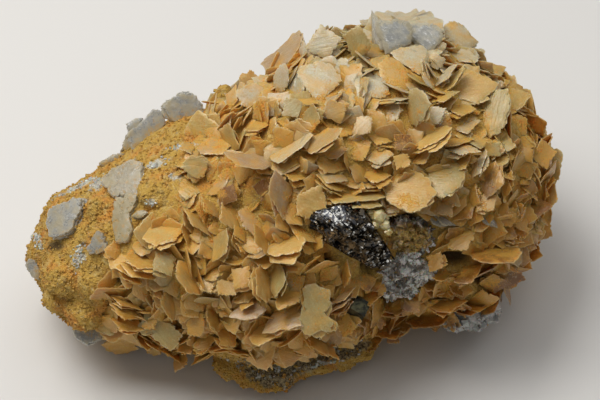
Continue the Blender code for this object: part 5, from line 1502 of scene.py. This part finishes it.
def dark_cube():
    """Smooth dark metal with an olive cast, for the small cube."""
    tree = Tree("dark_cube")
    colour = tree.turned((0.02, 0.02, 0.015), (0.10, 0.095, 0.05), tree.noise(1.6 * MM, 4, 0.6), 0.4, 0.6)
    tree.bumped(tree.noise(0.5 * MM, 3, 0.6), 0.4, 0.15 * MM)
    return tree.surface(Base_Color=colour, Metallic=0.8, Roughness=0.28)


def quartz(name, light, dark, stained=0.7):
    """Glittering small quartz points, between two colours, stained with ochre and brown by patches."""
    tree = Tree(name)
    colour = tree.turned(light, dark, tree.noise(3.2 * MM, 5, 0.75), 0.44, 0.56)
    colour = tree.turned(colour, (0.50, 0.31, 0.08), tree.noise(1.1 * MM, 4, 0.8), 0.54, 0.66, stained)
    brown = tree.turned((0.30, 0.19, 0.06), (0.74, 0.50, 0.15), tree.noise(0.9 * MM, 4, 0.8), 0.42, 0.6)
    place = tree.sum(tree.value("brown"), tree.centred(tree.noise(1.3 * MM, 4, 0.8)))
    return tree.surface(
        Base_Color=tree.turned(colour, brown, place, 0.35, 0.65),
        Roughness=0.14,
        Transmission_Weight=0.3,
        IOR=1.54,
        Subsurface_Weight=0.2,
        Subsurface_Scale=0.8 * MM,
    )


def surface_samples(mesh, count, draw):
    """Points spread at random over a mesh by area, each with its face's normal and an edge's direction."""
    mesh.calc_loop_triangles()
    triangles = [[mesh.vertices[k].co for k in triangle.vertices] for triangle in mesh.loop_triangles]
    areas = [(b - a).cross(c - a).length for a, b, c in triangles]
    for a, b, c in draw.choices(triangles, areas, k=count):
        u, v = sorted((draw.random(), draw.random()))
        normal = (b - a).cross(c - a).normalized()
        edge = max((b - a, c - b, a - c), key=lambda side: side.length)
        yield a * u + b * (v - u) + c * (1 - v), normal, edge.normalized()


def pressed(point):
    """A point of the pyrite drawn in to the size it has in the view, and back over the cluster's borders."""
    offset = point - in_view(*PYRITE_SEEN) - SHIFT
    seen = RIGHT * offset.dot(RIGHT) + UP * offset.dot(UP)
    point = point - seen * (1 - PYRITE_SHARE) + UP * PYRITE_UP
    for (left, top), (right, bottom) in PYRITE_BORDERS:
        out = Vector((bottom - top, right - left)).normalized()
        px, py, _ = pixel_of(point - SHIFT)
        beyond = (px - left) * out.x + (top - py) * out.y
        if beyond > 0:
            point = point - (RIGHT * out.x + UP * out.y) * beyond * PIXEL * PRESSED_SHARE
    return point


def make_pyrite(node):
    """The pyrite cluster: the solid's cubes, with smaller blocks on their faces, many along its ridges."""
    draw = random.Random(SEED + 4)
    mesh_data = copy_of(node)
    for point, normal, edge in surface_samples(node.data, BLOCKS, draw):
        size = draw.uniform(0.35, 1.0) ** 2 * LARGEST_BLOCK
        along, longer = edge, 1.0
        if draw.random() < RIDGED_SHARE:
            along = (RIDGE - normal * RIDGE.dot(normal)).normalized()
            longer = draw.uniform(1.4, 2.6)
        jitter = Matrix.Rotation(draw.uniform(-0.35, 0.35), 3, along)
        turn = Matrix((along, normal.cross(along), normal)).transposed()
        shape = Matrix.Diagonal((longer, draw.uniform(0.6, 1.1), draw.uniform(0.7, 1.2)))
        middle = point + normal * (size * draw.uniform(-0.35, 0.25))
        matrix = Matrix.Translation(middle) @ (jitter @ turn @ shape).to_4x4()
        bmesh.ops.create_cube(mesh_data, size=size, matrix=matrix)
    made = new_object("pyrite_facets", mesh_data)
    for vertex in made.data.vertices:
        vertex.co = pressed(vertex.co)
    # Marks where the sheen is painted, and where the rust lies.
    mark_seen(made, bright=PAINTED_SHEEN_PATCHES, brown=RUST_PATCHES)
    return made


def make_cube(node):
    """The small pyrite cube, standing out between the blades, with its edges blunted a little."""
    mesh_data = copy_of(node)
    middle = middle_of([vertex.co for vertex in mesh_data.verts])
    for vertex in mesh_data.verts:
        vertex.co = middle + (vertex.co - middle) * CUBE_GROWN + TOWARD * CUBE_RAISED
    bmesh.ops.bevel(mesh_data, geom=mesh_data.edges[:], offset=CUBE_BEVEL, segments=1, affect="EDGES")
    return new_object("small_cube", mesh_data)


def make_druse(name, node, count, sizes, seed):
    """A druse: the solid's lumps, covered with small six-sided points and a few thin plates."""
    draw = random.Random(seed)
    mesh_data = copy_of(node)
    for point, normal, _ in surface_samples(node.data, count, draw):
        width = draw.uniform(*sizes) * MM
        lean = (normal + Vector([draw.uniform(-0.5, 0.5) for _ in range(3)])).normalized()
        spin = Matrix.Rotation(draw.uniform(0, math.pi), 4, "Z")
        turn = lean.to_track_quat("Z", "Y").to_matrix().to_4x4() @ spin
        matrix = Matrix.Translation(point + lean * width * 0.15) @ turn
        if draw.random() < PLATE_SHARE:
            sides = (draw.uniform(0.8, 1.2), draw.uniform(0.4, 0.7), draw.uniform(0.6, 1.0), 1)
            bmesh.ops.create_cube(mesh_data, size=width, matrix=matrix @ Matrix.Diagonal(sides))
        else:
            bmesh.ops.create_cone(mesh_data, cap_ends=True, segments=6, radius1=width / 2,
                                  radius2=width * 0.14, depth=width * draw.uniform(1.0, 1.5), matrix=matrix)
    made = new_object(name, mesh_data)
    mark_seen(made, brown=BROWN_PATCHES)
    return made


def make_pale_grain(node):
    """The pale grain: the solid with a few angular lumps on it."""
    draw = random.Random(SEED + 9)
    mesh_data = copy_of(node)
    near = max((vertex.co - SHIFT - VIEW_TARGET).dot(TOWARD) for vertex in node.data.vertices)
    for ball in PALE_GRAIN:
        size = ball.radius * PIXEL / MM
        middle = in_view(ball.px, ball.py, near + ball.nearer * MM) + SHIFT
        rough_ball(mesh_data, middle, (size, size, size), draw)
    return new_object("pale_grain_lumps", mesh_data)


def make_grains(name, ground, count, wanted):
    """Small rough grains on the rock or the crust, where wanted(points, normals) says, as one mesh."""
    draw, grain = random.Random(SEED + 6), np.random.default_rng(SEED + 6)
    mesh_data = bmesh.new()
    bmesh.ops.create_icosphere(mesh_data, subdivisions=1, radius=1)
    ball = np.array([vertex.co[:] for vertex in mesh_data.verts])
    faces = np.array([[vertex.index for vertex in face.verts] for face in mesh_data.faces])
    mesh_data.free()
    blank, own = np.zeros(len(ball)), np.zeros((len(ball), 3))
    samples = [(point - SHIFT, normal) for point, normal, _ in surface_samples(ground.data, count, draw)]
    shares = wanted(np.array([point for point, _ in samples]), np.array([normal for _, normal in samples]))
    gathering = Gathered()
    for (point, normal), share in zip(samples, shares):
        if draw.random() > share:
            continue
        size = draw.uniform(*GRAIN_SIZE) * MM
        rough = ball * size * grain.uniform(0.6, 1.35, (len(ball), 1)) * grain.uniform(0.7, 1.4, 3)
        gathering.add(rough + np.array(point + normal * size * 0.2), faces, OCHRE, own, blank, blank)
    return gathering.made(name, sharp=30)


def crumb_share(points, normals):
    """How likely a place on the crust is to carry ochre crumbs: in clusters, and where dust lies thick."""
    pixels = pixels_of(points)
    dusty = 0.7 * patched(pixels, DUST_PATCHES, DUST_SOFT) * (1 - patched(pixels, SHADED_HOLLOWS))
    clusters = np.array([noise.noise(Vector(point) / CRUMB_SCALE) for point in points])
    return np.clip(dusty + 1.6 * clusters, 0, 1)


def bare_share(points, normals):
    """How likely a place is to carry ochre grains: the bare rock, but few on its pale or glassy patches."""
    pixels = pixels_of(points)
    reaches = np.array([crust_column(px, point) for (px, _), point in zip(pixels, points)])
    patches = np.maximum(patched(pixels, PALE_PATCHES_AND_HIGHLIGHT), patched(pixels, DARK_PATCHES))
    facing = np.clip(normals @ np.array(TOWARD) + 0.6, 0.15, 1)
    share = (reaches < 2 * MM) * facing * (1 - 0.9 * patches)
    return share * (1 - 0.5 * patched(pixels, LIP_PATCHES)) * (points[:, 2] > 1.5 * MM)


def pale_share(points, normals):
    """How likely a place is to carry white grains: the pale patches, one of them a painted highlight, and the
    lip.
    """
    pixels = pixels_of(points)
    patches = np.maximum(patched(pixels, PALE_PATCHES_AND_HIGHLIGHT), patched(pixels, LIP_PATCHES) * 0.12)
    return patches * (normals @ np.array(TOWARD) > -0.1)


def make_floor():
    mesh_data = bmesh.new()
    bmesh.ops.create_grid(mesh_data, x_segments=1, y_segments=1, size=FLOOR_HALF)
    floor = new_object("floor", mesh_data)
    floor.data.materials.append(Tree("pale_floor").surface(Base_Color=FLOOR_COLOUR, Roughness=0.75))


def make_lights():
    """Soft square lamps aimed at the specimen, and a faint light from all round."""
    for name, place, width, power, colour in LAMPS:
        light = bpy.data.lights.new(name, "AREA")
        light.size = width
        light.energy = power
        light.color = colour
        lamp = bpy.data.objects.new(name, light)
        lamp.location = place
        lamp.rotation_euler = (Vector(place) - VIEW_TARGET).to_track_quat("Z", "Y").to_euler()
        bpy.context.scene.collection.objects.link(lamp)
    world = bpy.context.scene.world or bpy.data.worlds.new("studio")
    bpy.context.scene.world = world
    world.use_nodes = True
    background = world.node_tree.nodes["Background"]
    background.inputs["Color"].default_value = (*WARM_WHITE, 1)
    background.inputs["Strength"].default_value = WORLD_STRENGTH


def make_camera():
    camera = bpy.data.cameras.new("camera")
    camera.sensor_width = SENSOR_WIDTH
    camera.lens = SENSOR_WIDTH * VIEW_DISTANCE / SEEN_WIDTH
    holder = bpy.data.objects.new("camera", camera)
    holder.location = VIEW_TARGET + SHIFT + TOWARD * VIEW_DISTANCE
    holder.rotation_euler = TOWARD.to_track_quat("Z", "Y").to_euler()
    bpy.context.scene.collection.objects.link(holder)
    bpy.context.scene.camera = holder


def dress(piece, material, node):
    """Gives a piece its material, and sets it in the place of a CAD node."""
    piece.data.materials.clear()
    piece.data.materials.append(material)
    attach(piece, "root")
    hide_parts(node)


def make_ground(rock):
    """The bare rock, the crust's bed between the blades, and the grains on both."""
    material = limonite()
    piece = make_rock(rock)
    dress(piece, material, "matrix")
    grains = make_grains("limonite_grains", piece, OCHRE_GRAINS, bare_share)
    dress(grains, material, "matrix")
    pale = quartz("pale_grains", (0.76, 0.77, 0.71), (0.56, 0.56, 0.50), 0.2)
    dress(make_grains("pale_grains", piece, PALE_GRAINS, pale_share), pale, "matrix")
    bed = make_bed(rock)
    dress(bed, material, "calcite_blades")
    dress(make_grains("crust_crumbs", bed, CRUMBS, crumb_share), material, "calcite_blades")


def make_minerals(nodes):
    """The dark pyrite, the two druses and the pale grain."""
    dress(make_pyrite(nodes["pyrite_cluster"]), pyrite(), "pyrite_cluster")
    dress(make_cube(nodes["pyrite_cube"]), dark_cube(), "pyrite_cube")
    grey = quartz("grey_quartz", (0.92, 0.90, 0.84), (0.20, 0.18, 0.15), 0.85)
    druse = make_druse("quartz_points", nodes["quartz_druse"], *GREY_POINTS, SEED + 7)
    dress(druse, grey, "quartz_druse")
    white = quartz("white_quartz", (0.80, 0.79, 0.76), (0.42, 0.42, 0.40), 0.2)
    druse = make_druse("white_points", nodes["white_druse"], *WHITE_POINTS, SEED + 8)
    dress(druse, white, "white_druse")
    yellow = quartz("pale_calcite", (0.84, 0.77, 0.46), (0.66, 0.50, 0.18), 0.5)
    dress(make_pale_grain(nodes["pale_grain"]), yellow, "pale_grain")


def main():
    for old in list(bpy.data.objects):
        bpy.data.objects.remove(old)
    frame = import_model()
    nodes = frame["nodes"]
    form = lofted("form", [0.5 * k for k in range(2 * len(STATIONS) - 1)], FORM_SIDES, bare_form)
    rock = tree_of(form)
    remove(form)
    make_camera()
    make_lights()
    make_floor()
    bpy.context.scene.view_settings.view_transform = "Standard"

    make_ground(rock)
    blade_material, clear_material = calcite(), clear_calcite()
    for name, piece in make_blades(rock, nodes).items():
        dress(piece, clear_material if name == CLEAR_GROUP else blade_material, "calcite_blades")
    grey = grey_calcite()
    for name, tablets in FREE_CRYSTALS.items():
        dress(make_crystal(name, tablets, rock), grey, name)
    make_minerals(nodes)


main()
